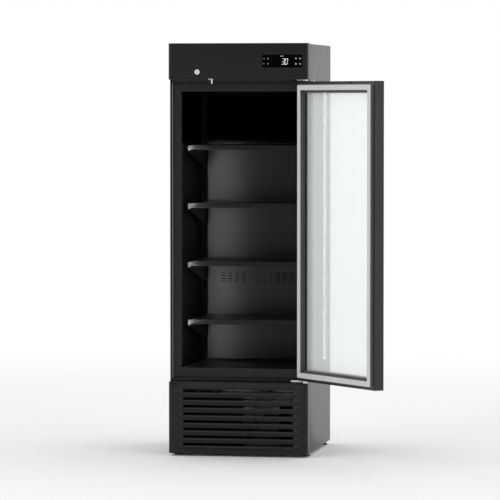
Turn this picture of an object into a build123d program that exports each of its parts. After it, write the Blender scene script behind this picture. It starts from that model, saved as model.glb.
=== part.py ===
from build123d import *
import os
from math import cos, radians, sin

# Upright refrigerated display cabinet with one glass door, in millimetres.
# X runs left to right seen from the front, Y from front to back, Z up from the floor.
# The origin is on the floor, under the middle of the cabinet.

# Cabinet body
cabinet_width = 680.0
cabinet_depth = 720.0
header_top = 1985.0
header_rise = 4.0  # header cover above the top panel
header_bottom = 1810.5
base_cover_top = 358.0
base_clearance = 12.0  # floor to the grille panel
side_clearance = 18.0  # floor to the side panels
sheet = 0.8
cover_depth = 45.0  # header and grille panel stand this far in front of the body
cover_sheet = 1.2
cover_radius = 12.0
cover_return = 20.0

# Door mouth
rim_width = 11.0
seal_recess = 14.0  # sealing face behind the body front
seal_width = 39.0
seal_thickness = 8.0
seal_groove = 10.0  # under the frame's lower member
head_groove = 7.0  # over its upper member
seal_groove_depth = 6.0
seal_tuck = 6.0  # the sealing frame runs this far behind the rim
sill_height = 14.0
sill_skirt = 18.0  # sill sheet hidden behind the grille panel
head_gap = 10.5  # rim below the header cover

# Insulated chamber
lip_side = 6.0
lip_floor = 4.0
wall_thickness = 44.0
back_thickness = 38.0
floor_insulation = 50.0
ceiling_insulation = 62.0

# Door
door_gap_side = 1.0
door_gap_bottom = 12.0
door_gap_top = 9.0
door_thickness = 50.0
door_member = 36.0
door_lip = 20.0
door_lip_thickness = 15.0
door_edge_radius = 4.0
door_front_radius = 1.5
seal_touch = 0.3  # closed gasket to sealing face
trim_margin = 17.0
trim_width = 25.0
trim_height = 12.0
trim_leg = 6.0
trim_flange = (6.0, 2.0)  # thin outer rim of the trim: width, thickness
trim_ledge = 11.0  # inner step beside the glass
trim_ledge_drop = 4.5  # step below the back of the frame
gasket_height = 5.0
pane = 4.0
spacer_depth = 12.0
spacer_width = 18.0
glass_play = 1.0
door_open_angle = 130.4
pivot_from_edge = 15.0
pivot_from_front = 20.3
grip_width = 22.0
grip_depth = 20.0
grip_length = 600.0
grip_centre = 1090.0
grip_from_edge = 7.0

# Hinges
pin_radius = 4.0
running = 0.05
bush_radius = 7.0
bush_length = 18.0
pin_engagement = 16.0
hinge_plate = 3.0
hinge_arm = 4.0
hinge_arm_radius = 13.0
hinge_air = 1.5  # between the door's plate and the upper arm
hinge_flange = 3.0
hinge_lead = 0.5  # bracket above the grille panel
lower_hinge_length = 86.0
lower_flange_height = 10.0
upper_flange_height = 26.0
upper_hinge_length = 60.0
door_plate_length = 80.0
door_plate_width = 22.0
dome_radius = 9.5
dome_height = 4.5
dome_clearance = 1.0
face_gap = 0.3
thrust_radius = 11.0

# Lock
lock_from_left = 141.3
lock_height = 1847.0
lock_face_radius = 12.5
lock_bore_radius = 10.0
lock_shank_radius = 11.2
lock_shank = 18.0
lock_proud = 2.0
keyway_length = 9.0
keyway_width = 2.2
keyway_depth = 6.0
cam_arm = 9.9
cam_pin_radius = 2.0
cam_thickness = 2.0
cam_pin_length = 5.0
bolt_travel = 14.0
bolt_thickness = 2.0
bolt_bar_height = 8.0
bolt_bar_above = 3.5  # bar above the header cover's lower edge
bolt_reach = 69.3  # lock centre to the bolt pin
bolt_pin_radius = 4.0
bolt_pin_back = 14.0  # header face to the pin
bolt_drop = 19.5
bolt_foot = (22.0, 5.5)  # forward foot of the bar that carries the pin
bolt_foot_below = 4.5  # foot's underside below the bar's
bolt_foot_play = 1.0
bolt_foot_from_pin = 6.7
bolt_tab_width = 24.0
lock_notch_height = 6.0
pin_clearance = 2.0
guide_width = 12.0
guide_from_lock = 30.0
slide_clearance = 0.2

# Controller
display_width = 192.0
display_height = 60.0
display_thickness = 2.0
display_from_right = 29.6  # display edge to the cabinet side
display_from_top = 56.4
display_overlap = 6.0
controller_depth = 22.0
control_box_size = (400.0, 180.0, 96.0)
control_box_from_front = 100.0

# Grille panel
louvre_count = 8
louvre_width = 536.0
louvre_pitch = 36.7
louvre_first_top = 321.0
louvre_bar = 3.0
louvre_blade = 24.2
louvre_lean = 9.0
panel_screw_x = 175.0
panel_screw_height = 24.0
screw_head_radius = 4.0
screw_head = 2.0
screw_shank_radius = 2.0
screw_length = 12.0

# Shelves
shelf_count = 4
shelf_lowest = 646.0
shelf_width = 543.0
shelf_depth = 430.0
shelf_setback = 210.0  # cabinet front to the shelf front
shelf_sheet = 1.2
shelf_lip = 24.0
shelf_lip_radius = 5.0
shelf_side = 20.0
shelf_hem = 8.0
shelf_slot = (110.0, 8.0)
shelf_slot_rows = (0.3, 0.7)
shelf_slot_columns = 4
shelf_slot_gap = 130.0

# Shelf standards and brackets
standard_width = 28.0
standard_depth = 8.0
standard_wall = 1.5
standard_end_gap = 14.0
standard_slot = (4.0, 14.0)
slot_pitch = 28.3
slots_per_shelf = 10
bracket_width = 12.0
bracket_sheet = 1.5
bracket_gap = 0.5  # shelf's side to the bracket
bracket_setback = 2.0
bracket_below_top = 3.0
bracket_front_drop = 28.5  # shelf top to the bracket's nose
bracket_rear_drop = 108.5
bracket_level_length = 94.0  # level part of its lower edge, from the rear
bracket_seat = 14.0
bracket_play = 0.2
hook_below = 30.0  # shelf top to the upper slot's lower end
hook_spacing = 2
hook_height = 10.0
hook_nose = 3.0
hook_reach = 3.5  # hook's end to the duct panel

# Air duct panel
duct_gap = 33.0  # panel face to the chamber's back wall
duct_width = 558.0
duct_sheet = 1.2
duct_floor_gap = 6.0
duct_ceiling_gap = 36.0
vent_rows = 4
vent_columns = 12
vent_row_pitch = 13.6
vent_column_pitch = 34.5
vent_slot = (22.0, 5.0)
vent_height = 830.0

# Light
led_back = 29.6  # sealing face to the middle of the light
led_width = 14.0
led_depth = 9.0
led_wall = 1.5
led_end_gap = 7.0
diffuser_thickness = 1.8
pocket_play = 0.2

# Fans and cooling
small_fan = dict(size=120.0, depth=25.0, bore=57.0, hub=20.0, tip=54.0, blades=7, shaft=2.0, strut=4.0)
large_fan = dict(size=240.0, depth=38.0, bore=112.0, hub=38.0, tip=106.0, blades=5, shaft=4.0, strut=9.0)
fan_hub_share = 0.5  # of the depth is motor, the rest rotor
blade_thickness = 1.6
blade_pitch_angle = 32.0
fan_corner = 8.0
rotor_gap = 1.0
evaporator_size = (400.0, 28.0, 330.0)
evaporator_above_fan = 20.0
coil_radius = 4.0
coil_rows = 8
fin_count = 40
fin_sheet = 0.6
condenser_size = (300.0, 60.0, 250.0)
condenser_from_front = 66.0
condenser_x = -140.0
condenser_foot = 12.0
condenser_fan_gap = 6.0
compressor_x = 190.0
compressor_from_back = 150.0
compressor_radius = 82.0
compressor_height = 185.0
compressor_wall = 10.0  # stands for the shell and the motor inside it
compressor_foot = 14.0
compressor_plate = (220.0, 180.0, 4.0)
grommet_radius = 12.0
tray_size = (260.0, 170.0, 50.0)
tray_wall = 2.0
tray_x = -150.0
tray_from_back = 110.0
pipe_radius = 4.0
pipe_bend = 30.0
drier_radius = 11.0
drier_length = 110.0

# Chassis and feet
chassis_sheet = 3.0
chassis_edge = 25.0
foot_x = 313.0
foot_front = 92.0
foot_rear = 650.0
foot_radius = 22.0
foot_height = 9.0
foot_chamfer = 2.0
stem_radius = 5.0
stem_top = 52.0
stem_play = 0.1
nut_radius = 10.0
nut_height = 12.0

# Back panel
rear_slot = (200.0, 7.0)
rear_slot_rows = 8
rear_slot_pitch = 18.0
rear_slot_bottom = 150.0
rear_slot_x = 130.0
inlet_x = 250.0
inlet_height = 80.0
inlet_face = (50.0, 30.0, 2.5)
inlet_socket = (27.0, 19.5, 15.0)
inlet_body = (31.0, 24.0, 20.0)
blade_pin = (2.0, 11.0, 6.0)
blade_pin_pitch = 7.0

# Places worked out from the sizes above
half_width = cabinet_width / 2
shelf_pitch = slots_per_shelf * slot_pitch
front = -cabinet_depth / 2
back = cabinet_depth / 2
body_front = front + cover_depth
body_top = header_top - header_rise
inner_side = half_width - sheet
inner_back = back - sheet
rim_half = half_width - rim_width
rim_bottom = base_cover_top + sill_height
rim_top = header_bottom - head_gap
seal_plane = body_front + seal_recess
seal_back = seal_plane + seal_thickness
mouth_half = rim_half - seal_width
mouth_bottom = rim_bottom + seal_groove + seal_width
mouth_top = rim_top - head_groove - seal_width
chamber_half = half_width - wall_thickness
chamber_floor = mouth_bottom - lip_floor
chamber_ceiling = mouth_top + lip_side
chamber_back = back - back_thickness
foam_bottom = chamber_floor - sheet - floor_insulation
foam_top = chamber_ceiling + sheet + ceiling_insulation
chassis_top = side_clearance + chassis_sheet

door_stack = door_thickness + trim_height + gasket_height
door_front = seal_plane - seal_touch - door_stack
door_back = door_front + door_thickness
door_half = half_width - door_gap_side
door_bottom = base_cover_top + door_gap_bottom
door_top = header_bottom - door_gap_top
pivot_x = door_half - pivot_from_edge
pivot_y = door_front + pivot_from_front
lock_x = -half_width + lock_from_left
bolt_x = lock_x + bolt_reach
bar_y = front + cover_sheet + lock_shank + cam_thickness + cam_pin_length - bolt_thickness / 2
bolt_y = front + bolt_pin_back
bar_bottom = header_bottom + bolt_bar_above
duct_face = chamber_back - duct_gap


def block(x0, x1, y0, y1, z0, z1):
    """Box between two corners."""
    centre = ((x0 + x1) / 2, (y0 + y1) / 2, (z0 + z1) / 2)
    return Pos(*centre) * Box(x1 - x0, y1 - y0, z1 - z0)


def rod_z(x, y, z0, z1, radius):
    """Upright cylinder."""
    return Pos(x, y, (z0 + z1) / 2) * Cylinder(radius, z1 - z0)


def rod_y(x, y0, y1, z, radius):
    """Cylinder that runs front to back."""
    return Pos(x, (y0 + y1) / 2, z) * Rot(90, 0, 0) * Cylinder(radius, y1 - y0)


def rod_x(x0, x1, y, z, radius):
    """Cylinder that runs left to right."""
    return Pos((x0 + x1) / 2, y, z) * Rot(0, 90, 0) * Cylinder(radius, x1 - x0)


def slot_y(x, y0, y1, z, length, height):
    """Round-ended slot cutter, long side along X, cutting front to back."""
    sketch = Plane(origin=(x, y1, z), x_dir=(1, 0, 0), z_dir=(0, -1, 0)) * SlotOverall(length, height)
    return extrude(sketch, amount=y1 - y0)


def slot_z(x, y, z0, z1, length, width):
    """Round-ended slot cutter, long side along X, cutting downwards."""
    return extrude(Pos(x, y, z0) * SlotOverall(length, width), amount=z1 - z0)


def mirrored(shape):
    """The same shape on the other side of the cabinet."""
    return mirror(shape, about=Plane.YZ)


def side_panel():
    """Right outer sheet, with its front flange and the lip that runs back to the sealing frame."""
    panel = block(inner_side, half_width, body_front, back, side_clearance, body_top)
    flange = block(rim_half, inner_side, body_front, body_front + sheet, side_clearance, body_top)
    lip = block(rim_half, rim_half + sheet, body_front, seal_plane, rim_bottom - sheet, rim_top + sheet)
    return panel + flange + lip


def top_panel():
    return block(-inner_side, inner_side, body_front + sheet, inner_back, body_top - sheet, body_top)


def back_panel():
    """Rear sheet with air slots over the machine space and the power inlet's hole."""
    panel = block(-inner_side, inner_side, inner_back, back, side_clearance, body_top)
    for row in range(rear_slot_rows):
        z = rear_slot_bottom + row * rear_slot_pitch
        for x in (-rear_slot_x, rear_slot_x):
            panel -= slot_y(x, inner_back - sheet, back + sheet, z, *rear_slot)
    width, height, _ = inlet_body
    hole = block(-width / 2, width / 2, inner_back - sheet, back + sheet, -height / 2, height / 2)
    return panel - Pos(inlet_x, 0, inlet_height) * hole


def front_sill():
    """Cross sheet under the mouth, with a lip back to the sealing frame."""
    low = base_cover_top - sill_skirt
    face = block(-rim_half, rim_half, body_front, body_front + sheet, low, rim_bottom)
    lip = block(-rim_half, rim_half, body_front, seal_plane, rim_bottom - sheet, rim_bottom)
    return face + lip


def head_rail():
    """Cross sheet over the mouth, up to the top panel behind the header cover."""
    face = block(-rim_half, rim_half, body_front, body_front + sheet, rim_top, body_top)
    lip = block(-rim_half, rim_half, body_front, seal_plane, rim_top, rim_top + sheet)
    return face + lip


def seal_frame():
    """Flat frame that the gasket closes on, with a groove over and under its cross members."""
    outer = rim_half + seal_tuck
    low = rim_bottom - seal_tuck
    high = rim_top + seal_tuck
    frame = block(-outer, outer, seal_plane, seal_back, low, high)
    frame -= block(-mouth_half, mouth_half, seal_plane - 1, seal_back + 1, mouth_bottom, mouth_top)
    groove_back = seal_plane + seal_groove_depth
    for z, height in ((rim_bottom, seal_groove), (rim_top - head_groove, head_groove)):
        frame -= block(-rim_half, rim_half, seal_plane - 1, groove_back, z, z + height)
    return frame


def led_span():
    """Lower and upper end of the light."""
    return chamber_floor + led_end_gap, chamber_ceiling - led_end_gap


def led_pocket(play):
    """Space of the light's channel in the left wall, grown by play."""
    low, high = led_span()
    middle = seal_plane + led_back
    half = led_width / 2 + play
    deep = chamber_half + led_depth + play
    return block(-deep, -chamber_half, middle - half, middle + half, low - play, high + play)


def liner_side():
    """Right inner wall of the chamber."""
    outer = chamber_half + sheet
    return block(chamber_half, outer, seal_back, chamber_back + sheet, chamber_floor, chamber_ceiling)


def liner_back():
    return block(
        -chamber_half, chamber_half, chamber_back, chamber_back + sheet, chamber_floor, chamber_ceiling
    )


def liner_flat(z):
    """Floor or ceiling sheet of the chamber with its underside at z."""
    outer = chamber_half + sheet
    return block(-outer, outer, seal_back, chamber_back + sheet, z, z + sheet)


def insulation():
    """Foam between the outer sheets and the chamber, as five slabs."""
    inner = chamber_half + sheet
    right = block(inner, inner_side, seal_back, inner_back, foam_bottom, foam_top)
    left = mirrored(right) - led_pocket(pocket_play)
    rear = block(-inner, inner, chamber_back + sheet, inner_back, foam_bottom, foam_top)
    upper = block(-inner, inner, seal_back, chamber_back + sheet, chamber_ceiling + sheet, foam_top)
    lower = block(-inner, inner, seal_back, chamber_back + sheet, foam_bottom, chamber_floor - sheet)
    return [left, right, rear, upper, lower]


def upper_deck():
    """Sheet that closes the foam and carries the control box."""
    return block(-inner_side, inner_side, body_front + sheet, inner_back, foam_top, foam_top + sheet)


def foot_places():
    """Floor positions of the four feet."""
    return {
        "front_left": (-foot_x, front + foot_front),
        "front_right": (foot_x, front + foot_front),
        "rear_left": (-foot_x, front + foot_rear),
        "rear_right": (foot_x, front + foot_rear),
    }


def base_chassis():
    """Pan that carries the cooling unit, with upturned edges and four threaded bosses."""
    edge_top = side_clearance + chassis_edge
    pan = block(-inner_side, inner_side, body_front + sheet, inner_back, side_clearance, edge_top)
    pan -= block(
        -inner_side + chassis_sheet,
        inner_side - chassis_sheet,
        body_front + sheet + chassis_sheet,
        inner_back - chassis_sheet,
        chassis_top,
        edge_top + 1,
    )
    for x, y in foot_places().values():
        pan += rod_z(x, y, chassis_top - 1, chassis_top + nut_height, nut_radius)
        pan -= rod_z(x, y, 0, chassis_top + nut_height + 1, stem_radius + stem_play)
    return pan


def levelling_foot(x, y):
    """Foot pad on its threaded stem."""
    pad = Pos(x, y, foot_height / 2) * Cylinder(foot_radius, foot_height)
    pad = chamfer(pad.edges().group_by(Axis.Z)[-1], foot_chamfer)
    return pad + rod_z(x, y, foot_height - 1, stem_top, stem_radius)


def cover_pan(low, high):
    """Folded cover in front of the body: rounded front corners, open at the back."""
    outer = block(-half_width, half_width, front, body_front, low, high)
    corners = outer.edges().filter_by(Axis.Z).group_by(Axis.Y)[0]
    outer = fillet(corners, cover_radius)
    wall = cover_sheet
    side = half_width - wall
    inner = block(-side, side, front + wall, body_front + wall, low + wall, high - wall)
    inner_corners = inner.edges().filter_by(Axis.Z).group_by(Axis.Y)[0]
    return outer - fillet(inner_corners, cover_radius - wall)


def header_cover():
    """Header front with the display window, lock hole and cuts for the bolt and the hinge."""
    wall = cover_sheet
    cover = cover_pan(header_bottom, header_top)
    cover -= block(
        -half_width + wall, half_width - wall, front + cover_return, body_front + 1, header_bottom - 1,
        header_bottom + 2 * wall,
    )
    low = header_bottom - 1
    return_back = front + cover_return + 1
    reach = dome_radius + dome_clearance
    cover -= rod_z(pivot_x, pivot_y, low, header_bottom + 2 * wall, reach)
    cover -= block(pivot_x - reach, pivot_x + reach, pivot_y, return_back, low, header_bottom + 2 * wall)
    right = bolt_x + bolt_foot_from_pin + bolt_foot_play
    left = right - bolt_foot[0] - 2 * bolt_foot_play
    cover -= block(left, right, front - 1, return_back, low, header_bottom + lock_notch_height)
    cover -= block(left - bolt_travel, right, front + wall, return_back, low, header_bottom + 2 * wall)
    cover -= rod_y(lock_x, front - 1, front + 2 * wall, lock_height, lock_shank_radius + slide_clearance)
    x, z = display_centre()
    width = display_width - 2 * display_overlap
    height = display_height - 2 * display_overlap
    window = block(-width / 2, width / 2, front - 1, front + 2 * wall, -height / 2, height / 2)
    return cover - Pos(x, 0, z) * window


def display_centre():
    """Middle of the display on the header, across and up."""
    x = half_width - display_from_right - display_width / 2
    z = header_top - display_from_top - display_height / 2
    return x, z


def controller_glass():
    """Display pane that lies on the header's face."""
    x, z = display_centre()
    y = front - display_thickness / 2
    pane_body = Pos(x, y, z) * Box(display_width, display_thickness, display_height)
    upright = pane_body.edges().filter_by(Axis.Y)
    return fillet(upright, display_thickness)


def controller_housing():
    """Case of the temperature controller behind the window."""
    x, z = display_centre()
    width = display_width - 2 * display_overlap - 2 * face_gap
    height = display_height - 2 * display_overlap - 2 * face_gap
    case = Pos(x, front + controller_depth / 2, z) * Box(width, controller_depth, height)
    return fillet(case.edges().group_by(Axis.Y)[-1], display_thickness)


def control_box():
    """Steel box for the terminals and the light's supply, on the upper deck."""
    width, depth, height = control_box_size
    y = front + control_box_from_front
    z = foam_top + sheet
    half = width / 2
    box = block(-half, half, y, y + depth, z, z + height)
    box = fillet(box.edges().filter_by(Axis.Z), display_thickness)
    wall = chassis_sheet / 2
    return box - block(-half + wall, half - wall, y + wall, y + depth - wall, z - 1, z + height - wall)


def base_cover():
    """Grille panel with eight leaning louvre blades."""
    cover = cover_pan(base_clearance, base_cover_top)
    cover -= block(
        -half_width + cover_sheet, half_width - cover_sheet, front + cover_return, body_front + 1,
        base_clearance - 1, base_clearance + 2 * cover_sheet,
    )
    for index in range(louvre_count):
        top = louvre_first_top - index * louvre_pitch
        bottom = top - louvre_pitch + louvre_bar
        cover -= block(-louvre_width / 2, louvre_width / 2, front - 1, front + 2 * cover_sheet, bottom, top)
        outline = Polyline(
            (front, bottom),
            (front + cover_sheet, bottom),
            (front + cover_sheet + louvre_lean, bottom + louvre_blade),
            (front + louvre_lean, bottom + louvre_blade),
            close=True,
        )
        section = Plane.YZ * make_face(outline)
        blade = Pos(-louvre_width / 2, 0, 0) * extrude(section, amount=louvre_width)
        cover += blade
    for x in (-panel_screw_x, panel_screw_x):
        cover -= rod_y(x, front - 1, front + 2 * cover_sheet, panel_screw_height, screw_shank_radius)
    return cover


def cover_screws():
    """Two round-head screws low on the grille panel."""
    screws = []
    for x in (-panel_screw_x, panel_screw_x):
        head = rod_y(x, front - screw_head, front, panel_screw_height, screw_head_radius)
        head = fillet(head.edges().group_by(Axis.Y)[0], screw_head / 2)
        shank = rod_y(x, front - 1, front + screw_length, panel_screw_height, screw_shank_radius)
        screws.append(head + shank)
    return screws


def lock_body():
    """Lock shell through the header cover and the guide that holds the bolt's bar."""
    shank_end = front + lock_shank
    shell = rod_y(lock_x, front - lock_proud, front, lock_height, lock_face_radius)
    shell += rod_y(lock_x, front - 1, shank_end, lock_height, lock_shank_radius)
    shell -= rod_y(lock_x, front - 5, shank_end + 1, lock_height, lock_bore_radius + running)
    middle = lock_x + guide_from_lock
    rear = bar_y + bolt_thickness
    guide = block(
        middle - guide_width / 2, middle + guide_width / 2, front + cover_sheet, rear,
        bar_bottom - bolt_thickness, bar_bottom + bolt_bar_height + bolt_thickness,
    )
    half = bolt_thickness / 2 + slide_clearance
    guide -= block(
        middle - guide_width, middle + guide_width, bar_y - half, bar_y + half,
        bar_bottom - slide_clearance, bar_bottom + bolt_bar_height + slide_clearance,
    )
    return [shell, guide]


def lock_barrel():
    """Key barrel with its keyway and the cam that moves the bolt, shown unlocked."""
    shank_end = front + cover_sheet + lock_shank
    barrel = rod_y(lock_x, front - lock_proud, shank_end, lock_height, lock_bore_radius)
    barrel -= block(
        lock_x - keyway_width / 2, lock_x + keyway_width / 2, front - lock_proud - 1, front + keyway_depth,
        lock_height - keyway_length / 2, lock_height + keyway_length / 2,
    )
    offset = cam_arm * sin(radians(45))
    pin_x = lock_x + offset
    pin_z = lock_height - offset
    plate = rod_y(lock_x, shank_end, shank_end + cam_thickness, lock_height, lock_bore_radius)
    plate += rod_y(pin_x, shank_end, shank_end + cam_thickness, pin_z, 2 * cam_pin_radius)
    pin = rod_y(pin_x, shank_end, shank_end + cam_thickness + cam_pin_length, pin_z, cam_pin_radius)
    return barrel + plate + pin


def lock_bolt():
    """Sliding bar with a slotted tab over the cam and a pin that drops into the door's top."""
    y0 = bar_y - bolt_thickness / 2
    y1 = bar_y + bolt_thickness / 2
    offset = cam_arm * sin(radians(45))
    tab_x = lock_x + offset
    tab_top = lock_height
    left = tab_x - bolt_tab_width / 2
    right = bolt_x + bolt_foot_from_pin
    bar = block(left, right, y0, y1, bar_bottom, bar_bottom + bolt_bar_height)
    foot_width, foot_sheet = bolt_foot
    foot_low = bar_bottom - bolt_foot_below
    bar += block(right - foot_width, right, bolt_y - bolt_pin_radius, y1, foot_low, foot_low + foot_sheet)
    bar += block(left, left + bolt_tab_width, y0, y1, bar_bottom, tab_top)
    slot_half = cam_pin_radius + 2 * slide_clearance + cam_pin_radius / 4
    slot_top = lock_height - offset + cam_pin_radius + pin_clearance
    slot_bottom = lock_height - cam_arm - cam_pin_radius - pin_clearance
    bar -= block(tab_x - slot_half, tab_x + slot_half, y0 - 1, y1 + 1, slot_bottom, slot_top)
    pin = rod_z(bolt_x, bolt_y, header_bottom - bolt_drop, foot_low + foot_sheet, bolt_pin_radius)
    pin = chamfer(pin.edges().group_by(Axis.Z)[0], 1)
    return bar + pin


def shelf(top):
    """Sheet shelf with a rounded front lip, side flanges and air slots."""
    half = shelf_width / 2
    y0 = front + shelf_setback
    y1 = y0 + shelf_depth
    outer = block(-half, half, y0, y1, top - shelf_lip, top)
    outer = fillet(outer.edges().filter_by(Axis.X).group_by(Axis.Y)[0], shelf_lip_radius)
    outer = fillet(outer.edges().filter_by(Axis.Z).group_by(Axis.Y)[0], shelf_sheet)
    wall = shelf_sheet
    hollow = block(-half + wall, half - wall, y0 + wall, y1 - wall, top - shelf_lip + wall, top - wall)
    hollow = fillet(hollow.edges().filter_by(Axis.X).group_by(Axis.Y)[0], shelf_lip_radius - wall)
    tray = outer - hollow
    under = top - shelf_lip - 1
    tray -= block(-half + wall, half - wall, y0 + shelf_hem, y1 + 1, under, top - shelf_lip + 2 * wall)
    tray -= block(-half - 1, half + 1, y0 + shelf_hem, y1 + 1, under, top - shelf_side)
    tray -= block(-half + wall, half - wall, y1 - 2 * wall, y1 + 1, under, top - wall)
    for share in shelf_slot_rows:
        for column in range(shelf_slot_columns):
            x = (column - (shelf_slot_columns - 1) / 2) * shelf_slot_gap
            tray -= slot_z(x, y0 + share * shelf_depth, top - 2 * wall, top + 1, *shelf_slot)
    return tray


def shelf_tops():
    return [shelf_lowest + index * shelf_pitch for index in range(shelf_count)]


def shelf_standards():
    """Two slotted channels in the rear corners of the chamber, open towards the duct panel."""
    low = chamber_floor + standard_end_gap
    high = chamber_ceiling - standard_end_gap
    y0 = duct_face - standard_depth
    inner = chamber_half - standard_width
    wall = standard_wall
    channel = block(inner, chamber_half, y0, duct_face, low, high)
    channel -= block(inner + wall, chamber_half - wall, y0 + wall, duct_face + 1, low - 1, high + 1)
    width, height = standard_slot
    first = shelf_lowest - hook_below
    below = int((first - low) // slot_pitch)
    above = int((high - height - first) // slot_pitch)
    for index in range(-below, above + 1):
        z = first + index * slot_pitch
        x = hook_x()
        channel -= block(x - width / 2, x + width / 2, y0 - 1, y0 + 2 * wall, z, z + height)
    return [channel, mirrored(channel)]


def hook_x():
    """Middle of the brackets' hooks, in the bracket's outer side."""
    return shelf_width / 2 + bracket_gap + bracket_width - bracket_sheet / 2


def shelf_brackets():
    """Two folded cantilever brackets under each shelf, deeper towards the rear, hooked into the standards."""
    x0 = shelf_width / 2 + bracket_gap
    y0 = front + shelf_setback + bracket_setback
    y1 = duct_face - standard_depth - bracket_play
    knee = y1 - bracket_level_length
    wall = bracket_sheet
    brackets = []
    for top in shelf_tops():
        high = top - bracket_below_top
        nose = top - bracket_front_drop
        low = top - bracket_rear_drop
        outline = Polyline((y0, high), (y1, high), (y1, low), (knee, low), (y0, nose), close=True)
        arm = Pos(x0, 0, 0) * extrude(Plane.YZ * make_face(outline), amount=bracket_width)
        hollow = Polyline(
            (y0 + wall, high + 1), (y1 + 1, high + 1), (y1 + 1, low + wall), (knee, low + wall),
            (y0 + wall, nose + wall), close=True,
        )
        arm -= Pos(x0 + wall, 0, 0) * extrude(Plane.YZ * make_face(hollow), amount=bracket_width - 2 * wall)
        seat = top - shelf_side
        seat_front = front + shelf_setback + shelf_hem + bracket_setback
        arm += block(x0 - bracket_seat, x0 + wall / 2, seat_front, y1 - bracket_setback, seat - wall, seat)
        for index in (0, hook_spacing):
            z = top - hook_below - index * slot_pitch + bracket_play / 2
            hook_end = duct_face - hook_reach
            half = wall / 2
            x = hook_x()
            arm += block(x - half, x + half, y1 - 2 * wall, hook_end, z, z + hook_height)
            nose_front = duct_face - standard_depth + standard_wall + bracket_play
            arm += block(x - half, x + half, nose_front, hook_end, z - hook_nose, z + 1)
        brackets.append(arm)
        brackets.append(mirrored(arm))
    return brackets


def duct_panel():
    """Panel in front of the evaporator, with the air intake slots and side flanges."""
    half = duct_width / 2
    low = chamber_floor + duct_floor_gap
    high = chamber_ceiling - duct_ceiling_gap
    panel = block(-half, half, duct_face, chamber_back, low, high)
    side = half - duct_sheet
    panel -= block(-side, side, duct_face + duct_sheet, chamber_back + 1, low - 1, high + 1)
    for row in range(vent_rows):
        z = vent_height + (row - (vent_rows - 1) / 2) * vent_row_pitch
        for column in range(vent_columns):
            x = (column - (vent_columns - 1) / 2) * vent_column_pitch
            panel -= slot_y(x, duct_face - 1, duct_face + 2 * duct_sheet, z, *vent_slot)
    return panel


def led_profile():
    """Aluminium channel let into the left wall."""
    low, high = led_span()
    middle = seal_plane + led_back
    half = led_width / 2 - led_wall
    channel = led_pocket(0)
    hollow = block(
        -chamber_half - led_depth + led_wall, -chamber_half + 1, middle - half, middle + half,
        low + led_wall, high - led_wall,
    )
    return channel - hollow


def led_diffuser():
    """Milky strip in the mouth of the channel."""
    low, high = led_span()
    middle = seal_plane + led_back
    half = led_width / 2 - led_wall
    x = -chamber_half
    return block(x - diffuser_thickness, x, middle - half, middle + half, low + led_wall, high - led_wall)


def fan_frame(spec, x, y0, z):
    """Square fan frame with its motor on four struts and the motor's shaft."""
    half = spec["size"] / 2
    y1 = y0 + spec["depth"]
    frame = block(x - half, x + half, y0, y1, z - half, z + half)
    frame = fillet(frame.edges().filter_by(Axis.Y), fan_corner)
    frame -= rod_y(x, y0 - 1, y1 + 1, z, spec["bore"])
    motor_front = y1 - spec["depth"] * fan_hub_share
    reach = spec["bore"] + 1
    strut = spec["strut"] / 2
    strut_front = y1 - spec["strut"]
    frame += block(x - reach, x + reach, strut_front, y1, z - strut, z + strut)
    frame += block(x - strut, x + strut, strut_front, y1, z - reach, z + reach)
    frame += rod_y(x, motor_front, y1, z, spec["hub"])
    return frame + rod_y(x, y0 + 2, motor_front + 1, z, spec["shaft"])


def fan_rotor(spec, x, y0, z):
    """Hub and pitched blades that turn on the motor's shaft."""
    motor_front = y0 + spec["depth"] * (1 - fan_hub_share)
    hub_front = y0 + 1
    hub_back = motor_front - rotor_gap
    middle = (hub_front + hub_back) / 2
    rotor = rod_y(x, hub_front, hub_back, z, spec["hub"])
    chord = (hub_back - hub_front) / sin(radians(blade_pitch_angle))
    inner = spec["hub"] * 0.9
    limit = rod_y(x, hub_front, hub_back, z, spec["tip"])
    limit -= rod_y(x, hub_front - 1, hub_back + 1, z, inner)
    for index in range(spec["blades"]):
        blade = Box(chord * 1.5, blade_thickness, spec["tip"])
        blade = Rot(0, 0, 90 - blade_pitch_angle) * blade
        blade = Pos(0, 0, spec["tip"] / 2 + inner / 2) * blade
        blade = Rot(0, index * 360 / spec["blades"], 0) * blade
        rotor += limit & (Pos(x, middle, z) * blade)
    return rotor - rod_y(x, hub_front - 1, hub_back + 1, z, spec["shaft"] + running)


def evaporator_fan_place():
    """Middle of the evaporator fan and its front face."""
    return 0.0, chamber_back - small_fan["depth"], vent_height


def finned_coil(x0, x1, y0, y1, z0, z1, rows):
    """Fins on tubes that run left to right, with bends at the ends."""
    pitch = (z1 - z0) / rows
    span = x1 - x0
    coil = None
    y = (y0 + y1) / 2
    for row in range(rows):
        tube = rod_x(x0 - coil_radius, x1 + coil_radius, y, z0 + (row + 0.5) * pitch, coil_radius)
        coil = tube if coil is None else coil + tube
    for row in range(rows - 1):
        x = x0 - coil_radius if row % 2 == 0 else x1 + coil_radius
        z = z0 + (row + 0.5) * pitch
        coil += rod_z(x, y, z - coil_radius, z + pitch + coil_radius, coil_radius)
    for index in range(fin_count):
        x = x0 + span * (index + 0.5) / fin_count
        coil += block(x - fin_sheet / 2, x + fin_sheet / 2, y0, y1, z0, z1)
    return coil


def evaporator():
    """Cooling coil behind the duct panel, above the fan, on two wall plates."""
    width, depth, height = evaporator_size
    low = vent_height + small_fan["size"] / 2 + evaporator_above_fan
    half = width / 2
    return finned_coil(-half, half, chamber_back - depth, chamber_back, low, low + height, coil_rows)


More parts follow.
